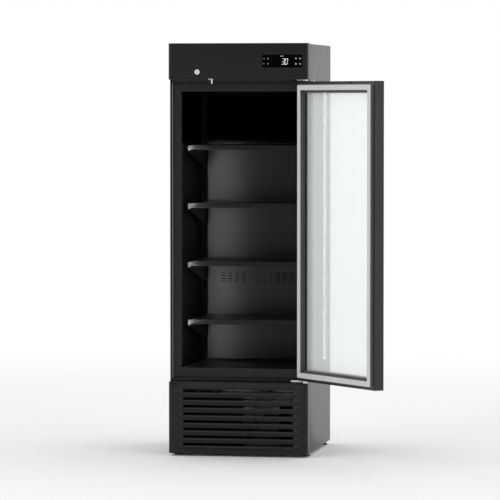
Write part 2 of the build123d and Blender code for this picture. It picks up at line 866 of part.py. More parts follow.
def condenser():
    """Warm coil behind the grille, standing on the chassis."""
    width, depth, height = condenser_size
    x0 = condenser_x - width / 2
    y0 = front + condenser_from_front
    z0 = chassis_top + condenser_foot
    coil = finned_coil(x0, x0 + width, y0, y0 + depth, z0, z0 + height, coil_rows)
    for x in (x0, x0 + width):
        side = block(x - fin_sheet, x + fin_sheet, y0, y0 + depth, chassis_top, z0 + height)
        coil += side
    return coil


def condenser_fan_place():
    """Middle of the condenser fan and its front face."""
    y = front + condenser_from_front + condenser_size[1] + condenser_fan_gap
    return condenser_x, y, chassis_top + large_fan["size"] / 2


def compressor():
    """Hermetic compressor: domed shell on a plate with four rubber grommets."""
    y = back - compressor_from_back
    plate_x, plate_y, plate_z = compressor_plate
    low = chassis_top + compressor_foot
    shell = rod_z(compressor_x, y, low + plate_z, low + compressor_height, compressor_radius)
    shell = fillet(shell.edges().group_by(Axis.Z)[-1], compressor_radius / 2)
    plate = Pos(compressor_x, y, low + plate_z / 2) * Box(plate_x, plate_y, plate_z)
    wall = compressor_wall
    hollow = rod_z(compressor_x, y, low + plate_z, low + compressor_height - wall, compressor_radius - wall)
    hollow = fillet(hollow.edges().group_by(Axis.Z)[-1], compressor_radius / 2 - wall)
    unit = shell - hollow + plate
    for sx in (-1, 1):
        for sy in (-1, 1):
            gx = compressor_x + sx * (plate_x / 2 - grommet_radius)
            gy = y + sy * (plate_y / 2 - grommet_radius)
            unit += rod_z(gx, gy, chassis_top, low + plate_z + 2, grommet_radius)
    return unit


def drip_tray():
    """Open tray for melt water on the chassis."""
    width, depth, height = tray_size
    x0 = tray_x - width / 2
    y1 = back - tray_from_back
    y0 = y1 - depth
    tray = block(x0, x0 + width, y0, y1, chassis_top, chassis_top + height)
    tray = fillet(tray.edges().filter_by(Axis.Z), fan_corner)
    wall = tray_wall
    return tray - block(
        x0 + wall, x0 + width - wall, y0 + wall, y1 - wall, chassis_top + wall, chassis_top + height + 1
    )


def pipe(points):
    """Tube through the points with rounded bends."""
    path = FilletPolyline(*points, radius=pipe_bend)
    start = Plane(origin=path @ 0, z_dir=path % 0)
    return sweep(start * Circle(pipe_radius), path=path)


def refrigerant_pipes():
    """Hot gas line from compressor to condenser, and suction line up into the floor foam."""
    y = back - compressor_from_back
    low = chassis_top + compressor_foot + compressor_plate[2]
    lift = low + compressor_height * 0.6
    start = compressor_x - compressor_radius
    width, depth, height = condenser_size
    end_x = condenser_x + width / 2 + coil_radius
    end_y = front + condenser_from_front + depth / 2
    top_z = chassis_top + condenser_foot + height
    end_z = top_z - height / coil_rows / 2
    turn = 40.0
    gas = pipe([
        (start, y, lift),
        (end_x + turn, y, lift),
        (end_x + turn, end_y, lift),
        (end_x + turn, end_y, end_z),
        (end_x, end_y, end_z),
    ])
    suction = pipe([
        (compressor_x, y + compressor_radius, lift),
        (compressor_x, y + compressor_radius + turn, lift),
        (compressor_x, y + compressor_radius + turn, foam_bottom),
    ])
    drier = rod_y(end_x + turn, y - turn - drier_length, y - turn, lift, drier_radius)
    drier = fillet(drier.edges(), pipe_radius)
    return [gas + drier, suction]


def power_inlet():
    """Appliance inlet for a mains lead, flush with the rear sheet, with three flat pins."""
    face_x, face_z, face_y = inlet_face
    hole_x, hole_z, hole_y = inlet_socket
    body_x, body_z, body_y = inlet_body
    x = inlet_x
    z = inlet_height
    flange_y = inner_back - face_y
    inlet = block(x - face_x / 2, x + face_x / 2, flange_y, inner_back, z - face_z / 2, z + face_z / 2)
    inlet += block(x - body_x / 2, x + body_x / 2, back - body_y, back, z - body_z / 2, z + body_z / 2)
    mouth = back
    inlet -= Pos(x, mouth, z) * Box(hole_x, 2 * hole_y, hole_z)
    pin_x, pin_y, pin_z = blade_pin
    for index in (-1, 0, 1):
        px = x + index * blade_pin_pitch
        pz = z + (pin_z / 2 if index == 0 else -pin_z / 2)
        length = pin_y + 1
        inlet += Pos(px, mouth - hole_y + pin_y - length / 2, pz) * Box(pin_x, length, pin_z)
    return inlet


def hinge_bracket_bottom():
    """Lower hinge: flange on the sill, arm forward over the grille panel, and its pin."""
    low = base_cover_top + hinge_lead
    arm_top = low + hinge_arm
    right = pivot_x + hinge_arm_radius
    left = right - lower_hinge_length
    flange = block(left, right, body_front - hinge_flange, body_front, low, low + lower_flange_height)
    arm = block(pivot_x - hinge_arm_radius, right, pivot_y, body_front, low, arm_top)
    arm += rod_z(pivot_x, pivot_y, low, arm_top, hinge_arm_radius)
    boss = rod_z(pivot_x, pivot_y, arm_top, door_bottom - face_gap, thrust_radius)
    pin = rod_z(pivot_x, pivot_y, arm_top, door_bottom + pin_engagement, pin_radius)
    return flange + arm + boss + pin


def hinge_bracket_top():
    """Upper hinge: flange behind the header cover, arm, domed pin head, and its pin."""
    low = door_top + hinge_plate + hinge_air
    arm_top = low + hinge_arm
    right = pivot_x + hinge_arm_radius
    left = right - upper_hinge_length
    flange = block(left, right, body_front - hinge_flange, body_front, low, low + upper_flange_height)
    arm = block(pivot_x - hinge_arm_radius, right, pivot_y, body_front, low, arm_top)
    arm += rod_z(pivot_x, pivot_y, low, arm_top, hinge_arm_radius)
    dome = rod_z(pivot_x, pivot_y, arm_top, arm_top + dome_height, dome_radius)
    dome = fillet(dome.edges().group_by(Axis.Z)[-1], dome_height * 0.8)
    pin = rod_z(pivot_x, pivot_y, door_top - pin_engagement, arm_top, pin_radius)
    return flange + arm + dome + pin


def bush_hole(z0, z1):
    return rod_z(pivot_x, pivot_y, z0, z1, bush_radius)


def door_stile_hinge():
    """Right upright of the closed door, with the holes for both bushes."""
    inner = door_half - door_member
    stile = block(inner, door_half, door_front, door_back, door_bottom, door_top)
    edges = stile.edges().filter_by(Axis.Z).group_by(Axis.X)[-1].sort_by(Axis.Y)
    stile = fillet(edges[-1], door_edge_radius)
    edges = stile.edges().filter_by(Axis.Z).sort_by(lambda e: e.center().Y - e.center().X)
    stile = fillet(edges[0], door_front_radius)
    lip_back = door_front + door_lip_thickness
    stile += block(inner - door_lip, inner + 1, door_front, lip_back, door_bottom, door_top)
    stile -= bush_hole(door_bottom - 1, door_bottom + bush_length)
    return stile - bush_hole(door_top - bush_length, door_top + 1)


def door_stile_free():
    """Left upright of the closed door, with a finger grip let into its front."""
    inner = door_half - door_member
    stile = block(-door_half, -inner, door_front, door_back, door_bottom, door_top)
    edges = stile.edges().filter_by(Axis.Z).group_by(Axis.X)[0].sort_by(Axis.Y)
    stile = fillet(edges[-1], door_edge_radius)
    edges = stile.edges().filter_by(Axis.Z).sort_by(lambda e: e.center().Y + e.center().X)
    stile = fillet(edges[0], door_front_radius)
    lip_back = door_front + door_lip_thickness
    stile += block(-inner - 1, -inner + door_lip, door_front, lip_back, door_bottom, door_top)
    left = -door_half + grip_from_edge
    low = grip_centre - grip_length / 2
    grip = block(left, left + grip_width, door_front - 1, door_front + grip_depth, low, low + grip_length)
    return stile - fillet(grip.edges().filter_by(Axis.Y), door_edge_radius)


def door_rail(low, high, lip_low, lip_high):
    """Cross member between the uprights, cut to their shape."""
    inner = door_half - door_member
    rail = block(-inner, inner, door_front, door_back, low, high)
    rail += block(-inner, inner, door_front, door_front + door_lip_thickness, lip_low, lip_high)
    corner = inner - door_lip
    for x0, x1 in ((-inner, -corner), (corner, inner)):
        lip_back = door_front + door_lip_thickness
        rail -= block(x0, x1, door_front - 1, lip_back, door_bottom - 1, door_top + 1)
    return rail


def door_rail_bottom():
    top = door_bottom + door_member
    return door_rail(door_bottom, top, top - 1, top + door_lip)


def door_rail_top():
    """Upper cross member, with the open slot and pocket that the lock's bolt enters."""
    bottom = door_top - door_member
    rail = door_rail(bottom, door_top, bottom - door_lip, bottom + 1)
    low = header_bottom - bolt_drop - pin_clearance
    reach = bolt_pin_radius + pin_clearance
    right = bolt_x + reach
    left = bolt_x - bolt_travel - reach
    entry = block(bolt_x - reach, right, bolt_y - reach, door_back + 1, low, door_top + 1)
    pocket = block(left, right, bolt_y - reach, bolt_y + reach, low, door_top + 1)
    return rail - entry - pocket


def door_ring(from_edge, width, y0, y1):
    """Rectangular ring, from_edge inside the door's outline."""
    x = door_half - from_edge
    z0 = door_bottom + from_edge
    z1 = door_top - from_edge
    ring = block(-x, x, y0, y1, z0, z1)
    return ring - block(-x + width, x - width, y0 - 1, y1 + 1, z0 + width, z1 - width)


def glass_front():
    """Outer face of the front pane, behind the frame's lip."""
    return door_front + door_lip_thickness


def glazing_back():
    """Inner face of the glazing unit."""
    return glass_front() + 2 * pane + spacer_depth


def door_trim():
    """Grey inner frame that holds the glazing and carries the gasket, with a step on both sides."""
    cap = door_ring(trim_margin, trim_width, door_back, door_back + trim_height)
    leg_edge = trim_margin + trim_width - trim_leg
    leg = door_ring(leg_edge, trim_leg, glazing_back(), door_back + 1)
    rim_out, rim_thick = trim_flange
    flange = door_ring(trim_margin - rim_out, rim_out + 1, door_back, door_back + rim_thick)
    ledge = door_ring(leg_edge, trim_leg + trim_ledge, glazing_back(), door_back - trim_ledge_drop)
    return cap + leg + flange + ledge


def door_gasket():
    """Soft magnetic seal on the trim, with rounded edges."""
    y0 = door_back + trim_height
    ring = door_ring(trim_margin, trim_width, y0, y0 + gasket_height)
    upper = ring.edges().group_by(Axis.Y)[-1]
    return fillet(upper, gasket_height * 0.4)


def glass_pane(y0):
    """One pane of the glazing unit."""
    edge = door_member + glass_play
    x = door_half - edge
    return block(-x, x, y0, y0 + pane, door_bottom + edge, door_top - edge)


def glass_spacer():
    """Spacer bar round the glazing unit."""
    y0 = glass_front() + pane
    return door_ring(door_member + glass_play, spacer_width, y0, y0 + spacer_depth)


def hinge_plate_door():
    """Plate on the door's top that the upper pin passes through."""
    half = door_plate_width / 2
    z1 = door_top + hinge_plate
    plate = block(pivot_x - door_plate_length, pivot_x, pivot_y - half, pivot_y + half, door_top, z1)
    plate = fillet(plate.edges().filter_by(Axis.Z).group_by(Axis.X)[0], half * 0.9)
    plate += rod_z(pivot_x, pivot_y, door_top, z1, half)
    return plate - rod_z(pivot_x, pivot_y, door_top - 1, z1 + 1, pin_radius + running)


def hinge_bushes():
    """Nylon bushes in the ends of the hinge upright."""
    bushes = []
    for low in (door_bottom, door_top - bush_length):
        bush = rod_z(pivot_x, pivot_y, low, low + bush_length, bush_radius)
        bushes.append(bush - rod_z(pivot_x, pivot_y, low - 1, low + bush_length + 1, pin_radius + running))
    return bushes


def opened(shape):
    """Turn a piece of the closed door to the open position."""
    turn = Pos(pivot_x, pivot_y, 0) * Rot(0, 0, door_open_angle) * Pos(-pivot_x, -pivot_y, 0)
    return turn * shape


def save(name, shape):
    """Write one node; a list becomes separate solids in that node."""
    solids = []
    for piece in shape if isinstance(shape, list) else [shape]:
        solids.extend(piece.solids())
    node = solids[0] if len(solids) == 1 else Compound(children=solids)
    node.label = name
    export_step(node, os.path.join("parts", name + ".step"))


def cabinet_nodes():
    right_panel = side_panel()
    right_liner = liner_side()
    nodes = {
        "side_panel_left": mirrored(right_panel),
        "side_panel_right": right_panel,
        "top_panel": top_panel(),
        "back_panel": back_panel(),
        "front_sill": front_sill(),
        "head_rail": head_rail(),
        "seal_frame": seal_frame(),
        "liner_left": mirrored(right_liner) - led_pocket(pocket_play),
        "liner_right": right_liner,
        "liner_back": liner_back(),
        "liner_ceiling": liner_flat(chamber_ceiling),
        "liner_floor": liner_flat(chamber_floor - sheet),
        "insulation": insulation(),
        "upper_deck": upper_deck(),
        "base_chassis": base_chassis(),
        "duct_panel": duct_panel(),
        "evaporator": evaporator(),
        "evaporator_fan_frame": fan_frame(small_fan, *evaporator_fan_place()),
        "evaporator_fan_rotor": fan_rotor(small_fan, *evaporator_fan_place()),
        "led_profile": led_profile(),
        "led_diffuser": led_diffuser(),
        "shelf_standards": shelf_standards(),
        "shelf_brackets": shelf_brackets(),
    }
    for index, top in enumerate(shelf_tops()):
        nodes[f"shelf_{index + 1}"] = shelf(top)
    return nodes


def front_nodes():
    return {
        "header_cover": header_cover(),
        "controller_glass": controller_glass(),
        "controller_housing": controller_housing(),
        "control_box": control_box(),
        "lock_body": lock_body(),
        "lock_barrel": lock_barrel(),
        "lock_bolt": lock_bolt(),
        "base_cover": base_cover(),
        "cover_screws": cover_screws(),
        "hinge_bracket_top": hinge_bracket_top(),
        "hinge_bracket_bottom": hinge_bracket_bottom(),
    }


def machine_nodes():
    nodes = {
        "compressor": compressor(),
        "condenser": condenser(),
        "condenser_fan_frame": fan_frame(large_fan, *condenser_fan_place()),
        "condenser_fan_rotor": fan_rotor(large_fan, *condenser_fan_place()),
        "drip_tray": drip_tray(),
        "refrigerant_pipes": refrigerant_pipes(),
        "power_inlet": power_inlet(),
    }
    for name, (x, y) in foot_places().items():
        nodes["foot_" + name] = levelling_foot(x, y)
    return nodes


def door_nodes():
    """The door's pieces, built closed and turned open."""
    closed = {
        "door_stile_hinge": door_stile_hinge(),
        "door_stile_free": door_stile_free(),
        "door_rail_top": door_rail_top(),
        "door_rail_bottom": door_rail_bottom(),
        "door_trim": door_trim(),
        "door_gasket": door_gasket(),
        "glass_outer": glass_pane(glass_front()),
        "glass_inner": glass_pane(glass_front() + pane + spacer_depth),
        "glass_spacer": glass_spacer(),
        "hinge_plate_door": hinge_plate_door(),
        "hinge_bushes": hinge_bushes(),
    }
    turned = {}
    for name, shape in closed.items():
        pieces = shape if isinstance(shape, list) else [shape]
        turned[name] = [opened(piece) for piece in pieces]
    return turned


os.makedirs("parts", exist_ok=True)
all_nodes = {**cabinet_nodes(), **front_nodes(), **machine_nodes(), **door_nodes()}
for node_name, node_shape in all_nodes.items():
    save(node_name, node_shape)
print("nodes", len(all_nodes))
print("door pivot", pivot_x, pivot_y)
print("mouth", mouth_half, mouth_bottom, mouth_top, "chamber back", chamber_back)
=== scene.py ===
import math

import bmesh
import bpy
import numpy as np
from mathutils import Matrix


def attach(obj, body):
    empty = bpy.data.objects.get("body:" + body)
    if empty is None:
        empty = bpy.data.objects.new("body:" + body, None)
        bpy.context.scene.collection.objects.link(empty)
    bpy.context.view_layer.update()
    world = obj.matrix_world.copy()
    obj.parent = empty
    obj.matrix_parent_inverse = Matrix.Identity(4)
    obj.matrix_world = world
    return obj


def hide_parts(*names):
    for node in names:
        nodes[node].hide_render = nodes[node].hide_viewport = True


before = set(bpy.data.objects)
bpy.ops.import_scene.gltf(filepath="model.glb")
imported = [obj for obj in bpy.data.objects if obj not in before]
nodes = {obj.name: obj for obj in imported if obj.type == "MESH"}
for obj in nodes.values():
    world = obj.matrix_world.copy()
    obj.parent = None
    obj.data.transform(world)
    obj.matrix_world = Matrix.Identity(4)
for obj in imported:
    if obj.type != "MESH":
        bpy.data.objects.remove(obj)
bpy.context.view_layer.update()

print("frame loaded,", len(nodes), "parts")


# Shader tools

class Value:
    # a node socket that takes part in sums: + - and * each add a Math node
    def __init__(self, shader, socket):
        self.shader = shader
        self.socket = socket

    def join(self, operation, other, swap=False):
        pair = [other, self] if swap else [self, other]
        made = self.shader.node("ShaderNodeMath", {"operation": operation}, {0: pair[0], 1: pair[1]})
        return self.shader.read(made)

    def __add__(self, other):
        return self.join("ADD", other)

    def __radd__(self, other):
        return self.join("ADD", other, True)

    def __sub__(self, other):
        return self.join("SUBTRACT", other)

    def __rsub__(self, other):
        return self.join("SUBTRACT", other, True)

    def __mul__(self, other):
        return self.join("MULTIPLY", other)

    def __rmul__(self, other):
        return self.join("MULTIPLY", other, True)


class Shader:
    # one node tree, of a material or of the world
    def __init__(self, owner, output="ShaderNodeOutputMaterial"):
        owner.use_nodes = True
        self.owner = owner
        self.tree = owner.node_tree
        self.tree.nodes.clear()
        self.out = self.node(output)

    def node(self, kind, settings=None, inputs=None):
        made = self.tree.nodes.new(kind)
        for key, value in (settings or {}).items():
            setattr(made, key, value)
        for key, value in (inputs or {}).items():
            if isinstance(value, Value):
                self.tree.links.new(value.socket, made.inputs[key])
            else:
                made.inputs[key].default_value = value
        return made

    def read(self, made, output=0):
        return Value(self, made.outputs[output])

    def finish(self, surface):
        self.tree.links.new(surface.outputs[0], self.out.inputs["Surface"])
        return self.owner

    def place(self, scale=(1.0, 1.0, 1.0)):
        # object coordinates, stretched
        coords = self.read(self.node("ShaderNodeTexCoord"), "Object")
        made = self.node("ShaderNodeMapping", {}, {"Vector": coords, "Scale": scale})
        return self.read(made)

    def noise(self, where, size, detail=2.0, rough=0.5):
        # fractal noise with features about size metres across
        made = self.node("ShaderNodeTexNoise", {}, {
            "Vector": where, "Scale": 1.0 / size, "Detail": detail, "Roughness": rough})
        return self.read(made, "Fac")

    def blend(self, factor, first, second):
        made = self.node("ShaderNodeMix", {"data_type": "RGBA"}, {"Factor": factor})
        for key, shade in ((6, first), (7, second)):
            if isinstance(shade, Value):
                self.tree.links.new(shade.socket, made.inputs[key])
            else:
                made.inputs[key].default_value = (*shade, 1.0)
        return self.read(made, 2)

    def remap(self, value, low, high, newLow, newHigh):
        made = self.node("ShaderNodeMapRange", {"interpolation_type": "SMOOTHSTEP"}, {
            "Value": value, "From Min": low, "From Max": high, "To Min": newLow, "To Max": newHigh})
        return self.read(made)

    def mixShaders(self, factor, first, second):
        made = self.node("ShaderNodeMixShader", {}, {0: factor})
        for slot, surface in ((1, first), (2, second)):
            self.tree.links.new(surface.outputs[0], made.inputs[slot])
        return made

    def bump(self, height, distance):
        made = self.node("ShaderNodeBump", {}, {"Height": height, "Distance": distance, "Strength": 1.0})
        return self.read(made)


def newShader(name):
    return Shader(bpy.data.materials.new(name))


coatLook = {"cloud": 0.35, "peel": 0.0022, "fine": 0.0006, "dust": (0.11, 0.105, 0.1)}


def powderCoat(name, shade, rough, peel=0.00004, dust=0.25, ior=1.4):
    # sprayed and baked paint: orange peel, a cloudy sheen and a trace of dust on faces that look up
    s = newShader(name)
    where = s.place()
    cloud = s.noise(where, coatLook["cloud"], 3.0)
    grain = s.noise(where, coatLook["peel"], 2.0, 0.6)
    fine = s.noise(where, coatLook["fine"], 1.0)
    normal = s.node("ShaderNodeNewGeometry")
    up = s.read(s.node("ShaderNodeSeparateXYZ", {}, {"Vector": s.read(normal, "Normal")}), "Z")
    settled = s.remap(up, 0.6, 1.0, 0.0, dust) * cloud
    tone = s.blend(cloud, [c * 0.95 for c in shade], [c * 1.05 for c in shade])
    tone = s.blend(settled, tone, coatLook["dust"])
    roughness = rough + (cloud - 0.5) * 0.03 + (fine - 0.5) * 0.05 + settled * 0.3
    surface = s.node("ShaderNodeBsdfPrincipled", {}, {
        "Base Color": tone, "Roughness": roughness, "Normal": s.bump(grain, peel), "IOR": ior})
    return s.finish(surface)


def linerCoat(name, shade, rough, paintedShadeFrom, paintedShadeTo):
    # satin coat of the chamber, blended between two heights into a matt near-black surface: painted shade
    # for the top of the chamber
    s = newShader(name)
    where = s.place()
    cloud = s.noise(where, 0.3, 3.0)
    grain = s.noise(where, 0.0018, 2.0, 0.6)
    height = s.read(s.node("ShaderNodeSeparateXYZ", {}, {"Vector": where}), "Z")
    # mask of the painted shade: 0 below the lower height, 1 above the upper one
    paintedShade = s.remap(height, paintedShadeFrom, paintedShadeTo, 0.0, 1.0)
    satin = s.node("ShaderNodeBsdfPrincipled", {}, {
        "Base Color": s.blend(cloud, [c * 0.9 for c in shade], [c * 1.1 for c in shade]),
        "Roughness": rough + (cloud - 0.5) * 0.08, "Normal": s.bump(grain, 0.00002), "IOR": 1.45})
    paintedShadeBlack = s.node("ShaderNodeBsdfPrincipled", {}, {
        # matt near-black surface that paints the shade at the top of the chamber
        "Base Color": s.blend(cloud, *paintLook["paintedShade"]),
        "Roughness": 0.9 + (cloud - 0.5) * 0.1, "Specular IOR Level": 0.0})
    return s.finish(s.mixShaders(paintedShade, satin, paintedShadeBlack))


def mouldedPlastic(name, shade, rough, grainSize=0.0008, depth=0.00003, streak=0.0, ior=1.5):
    # extruded or moulded plastic: fine grain, slow drift of tone, faint draw lines
    s = newShader(name)
    where = s.place()
    drift = s.noise(where, 0.12, 2.0)
    grain = s.noise(where, grainSize, 2.0, 0.6)
    lines = s.noise(s.place((900.0, 900.0, 1.5)), 1.0, 1.0)
    tone = s.blend(drift, [c * 0.93 for c in shade], [c * 1.07 for c in shade])
    roughness = rough + (drift - 0.5) * 0.1 + (lines - 0.5) * streak
    surface = s.node("ShaderNodeBsdfPrincipled", {}, {
        "Base Color": tone, "Roughness": roughness, "Normal": s.bump(grain, depth), "IOR": ior})
    return s.finish(surface)


def plated(name, shade, rough, metallic=1.0):
    # plated or brushed metal: streaks along one way, small stains
    s = newShader(name)
    streaks = s.noise(s.place((60.0, 60.0, 900.0)), 1.0, 2.0, 0.7)
    stains = s.noise(s.place(), 0.03, 4.0)
    tone = s.blend(stains, [c * 0.9 for c in shade], [min(1.0, c * 1.06) for c in shade])
    roughness = rough + (streaks - 0.5) * 0.12 + (stains - 0.5) * 0.1
    surface = s.node("ShaderNodeBsdfPrincipled", {}, {
        "Base Color": tone, "Metallic": metallic, "Roughness": roughness,
        "Normal": s.bump(streaks, 0.00001)})
    return s.finish(surface)


def galvanisedSheet(name):
    # zinc crystals as flat cells, each with its own tone and gloss
    s = newShader(name)
    where = s.place()
    wander = s.node("ShaderNodeVectorMath", {"operation": "MULTIPLY_ADD"}, {
        0: s.read(s.node("ShaderNodeTexNoise", {}, {"Vector": where, "Scale": 70.0}), "Color"),
        1: (0.006, 0.006, 0.006), 2: where})
    cells = s.node("ShaderNodeTexVoronoi", {"feature": "F1"}, {
        "Vector": s.read(wander), "Scale": 75.0, "Randomness": 1.0})
    cell = s.read(s.node("ShaderNodeSeparateColor", {}, {"Color": s.read(cells, "Color")}), "Red")
    clouds = s.noise(where, 0.2, 3.0)
    tone = s.blend(cell * 0.6 + clouds * 0.4, (0.40, 0.41, 0.42), (0.60, 0.61, 0.62))
    surface = s.node("ShaderNodeBsdfPrincipled", {}, {
        "Base Color": tone, "Metallic": 0.85, "Roughness": 0.34 + cell * 0.16 + clouds * 0.08,
        "Normal": s.bump(cell, 0.00002)})
    return s.finish(surface)


# alpha of the pale layer that paints the glass's reflection: least when faced, greatest when turned away
glassLook = {"clear": 0.05, "paintedReflection": 0.22, "paintedReflectionFrom": 0.12, "paintedReflectionTo": 0.50, "rough": 0.004,
             "tints": ((0.91, 0.97, 0.97), (0.93, 0.99, 0.99))}


def paneGlass(name, ior):
    # float glass: clear when faced; a pale, partly opaque layer that grows as the pane turns away paints the
    # reflection of the bright studio
    s = newShader(name)
    film = s.noise(s.place(), 0.5, 1.0)
    facing = s.read(s.node("ShaderNodeLayerWeight", {}, {"Blend": 0.5}), "Facing")
    cover = s.remap(facing, glassLook["paintedReflectionFrom"], glassLook["paintedReflectionTo"], glassLook["clear"],
                    glassLook["paintedReflection"])
    surface = s.node("ShaderNodeBsdfPrincipled", {}, {
        "Base Color": s.blend(film, *glassLook["tints"]),
        "Roughness": glassLook["rough"] + film * glassLook["rough"], "IOR": ior,
        "Alpha": cover + (film - 0.5) * 0.01})
    return s.finish(surface)


def glowing(name, shade, strength, spread=0.12):
    # lit plastic: an even glow with a slight drift
    s = newShader(name)
    drift = s.noise(s.place(), 0.05, 1.0)
    surface = s.node("ShaderNodeBsdfPrincipled", {}, {
        "Base Color": s.blend(drift, [c * 0.85 for c in shade], shade),
        "Roughness": 0.4 + drift * 0.1,
        "Emission Color": s.blend(drift, [c * (1 - spread) for c in shade], shade),
        "Emission Strength": strength})
    return s.finish(surface)


def foamed(name, shade):
    # cut polyurethane foam: pores and yellowing
    s = newShader(name)
    where = s.place()
    pores = s.read(s.node("ShaderNodeTexVoronoi", {"feature": "F1"}, {"Vector": where, "Scale": 900.0}))
    age = s.noise(where, 0.08, 3.0)
    surface = s.node("ShaderNodeBsdfPrincipled", {}, {
        "Base Color": s.blend(age, [c * 0.85 for c in shade], shade),
        "Roughness": 0.85 + age * 0.1, "Normal": s.bump(pores, 0.0004)})
    return s.finish(surface)


def finned(name, shade, metallic, pitch):
    # coil fins and tube, with dust between the fins
    s = newShader(name)
    where = s.place()
    dust = s.noise(where, 0.03, 4.0)
    bands = s.read(s.node("ShaderNodeTexWave", {"wave_type": "BANDS", "bands_direction": "X"}, {
        "Vector": where, "Scale": 1.0 / pitch / 6.28}), "Fac")
    surface = s.node("ShaderNodeBsdfPrincipled", {}, {
        "Base Color": s.blend(dust * 0.5, shade, (0.12, 0.115, 0.11)),
        "Metallic": metallic, "Roughness": 0.4 + dust * 0.25, "Normal": s.bump(bands, 0.00005)})
    return s.finish(surface)


def brazedCopper(name, tube, stain):
    # tarnished copper tube with heat stains
    s = newShader(name)
    heat = s.noise(s.place(), 0.05, 4.0)
    surface = s.node("ShaderNodeBsdfPrincipled", {}, {
        "Base Color": s.blend(s.remap(heat, 0.45, 0.7, 0.0, 1.0), tube, stain),
        "Metallic": 1.0, "Roughness": 0.5 + heat * 0.2})
    return s.finish(surface)


# for the liner: its tone and roughness, then the two heights and two near-black tones of the painted shade
# at the top of the chamber
paintLook = {"body": (0.0085, 0.0085, 0.0090), "bodyRough": 0.36, "liner": (0.0062, 0.0062, 0.0066),
             "linerRough": 0.34, "paintedShadeFrom": 1.485, "paintedShadeTo": 1.52,
             "paintedShade": ((0.0005, 0.0005, 0.0006), (0.001, 0.001, 0.0011)),
             "shelf": (0.0055, 0.0055, 0.0058), "shelfRough": 0.30}

blackPaint = powderCoat("black powder coat", paintLook["body"], paintLook["bodyRough"])
shelfPaint = powderCoat("shelf coat", paintLook["shelf"], paintLook["shelfRough"], 0.00002, 0.1, 1.36)
linerPaint = linerCoat("liner coat", paintLook["liner"], paintLook["linerRough"], paintLook["paintedShadeFrom"],
                       paintLook["paintedShadeTo"])
sealPlastic = mouldedPlastic("seal face plastic", (0.0115, 0.0115, 0.012), 0.42, ior=1.4)
framePlastic = mouldedPlastic("door frame plastic", (0.016, 0.016, 0.0166), 0.34, streak=0.05, ior=1.45)
trimPlastic = mouldedPlastic("grey trim", (0.066, 0.067, 0.068), 0.42, streak=0.06)
gasketRubber = mouldedPlastic("grey gasket", (0.60, 0.602, 0.597), 0.55, 0.0005, 0.00002)
rimHighlightGrey = mouldedPlastic("rim highlight grey", (0.29, 0.29, 0.295), 0.4)
spacerGrey = mouldedPlastic("spacer bar", (0.20, 0.20, 0.205), 0.5, 0.0012)
recessShadeRubber = mouldedPlastic("recess shade rubber", (0.006, 0.006, 0.0063), 0.6, 0.0012, ior=1.3)
nickel = plated("bright nickel", (0.78, 0.77, 0.75), 0.2)
# the lock's nickel is mostly non-metallic: its pale diffuse colour is a painted reflection, giving the lock
# the brightness a plated lock gets from reflecting the studio
lockNickelPaintedReflection = plated("satin nickel, painted reflection", (0.80, 0.79, 0.77), 0.42, metallic=0.3)
backSteel = mouldedPlastic("rear wall coat", (0.0022, 0.0022, 0.0023), 0.8, ior=1.2)
zinc = galvanisedSheet("galvanised sheet")
innerGlass = paneGlass("inner pane glass", 1.5)
outerGlass = paneGlass("outer pane glass", 1.2)
ledGlow = glowing("lit diffuser", (1.0, 1.0, 0.99), 10.0, 0.05)
lensGlow = glowing("lit lens", (1.0, 1.0, 0.99), 140.0, 0.05)
alloy = plated("satin aluminium", (0.62, 0.63, 0.64), 0.35)
coilBlack = finned("coated condenser", (0.012, 0.012, 0.013), 0.3, 0.0075)
coilBare = finned("evaporator fins", (0.45, 0.46, 0.47), 0.9, 0.01)
copper = brazedCopper("copper tube", (0.22, 0.12, 0.08), (0.08, 0.045, 0.035))
shellPaint = powderCoat("compressor paint", (0.014, 0.014, 0.015), 0.3, 0.00008, 0.5)
blackPlastic = mouldedPlastic("black moulding", (0.018, 0.018, 0.019), 0.5, 0.001, 0.00005)
displayPane = mouldedPlastic("display pane", (0.0012, 0.0012, 0.0014), 0.08, 0.02, 0.0, ior=1.2)
nylon = mouldedPlastic("white nylon", (0.72, 0.72, 0.7), 0.45)
foam = foamed("insulating foam", (0.72, 0.64, 0.42))
digitGlow = glowing("lit digits", (1.0, 1.0, 1.0), 0.32)
keyGlow = glowing("key marks", (0.72, 0.74, 0.76), 0.3)
keyFaint = glowing("faint key marks", (0.5, 0.52, 0.54), 0.08)

nodeFinish = {
    blackPaint: "top_panel base_cover header_cover side_panel_left side_panel_right front_sill head_rail",
    linerPaint: "liner_left liner_right liner_ceiling liner_floor duct_panel",
    shelfPaint: "shelf_brackets shelf_1 shelf_2 shelf_3 shelf_4",
    sealPlastic: "seal_frame", backSteel: "liner_back shelf_standards",
    framePlastic: "door_stile_hinge door_stile_free door_rail_top door_rail_bottom",
    trimPlastic: "door_trim", gasketRubber: "door_gasket", spacerGrey: "glass_spacer",
    innerGlass: "glass_inner", outerGlass: "glass_outer",
    nickel: "hinge_bracket_top hinge_bracket_bottom hinge_plate_door cover_screws",
    lockNickelPaintedReflection: "lock_body lock_barrel lock_bolt",
    zinc: "back_panel upper_deck base_chassis control_box",
    foam: "insulation", ledGlow: "led_diffuser", alloy: "led_profile", coilBlack: "condenser",
    coilBare: "evaporator", copper: "refrigerant_pipes", shellPaint: "compressor",
    blackPlastic: "evaporator_fan_frame evaporator_fan_rotor condenser_fan_frame condenser_fan_rotor "
                  "controller_housing drip_tray power_inlet foot_front_left foot_front_right "
                  "foot_rear_left foot_rear_right",
    displayPane: "controller_glass", nylon: "hinge_bushes",
}
for finish, names in nodeFinish.items():
    for name in names.split():
        mesh = nodes[name].data
        mesh.materials.clear()
        mesh.materials.append(finish)
print("finishes made,", len(bpy.data.materials), "materials")


# Mesh tools

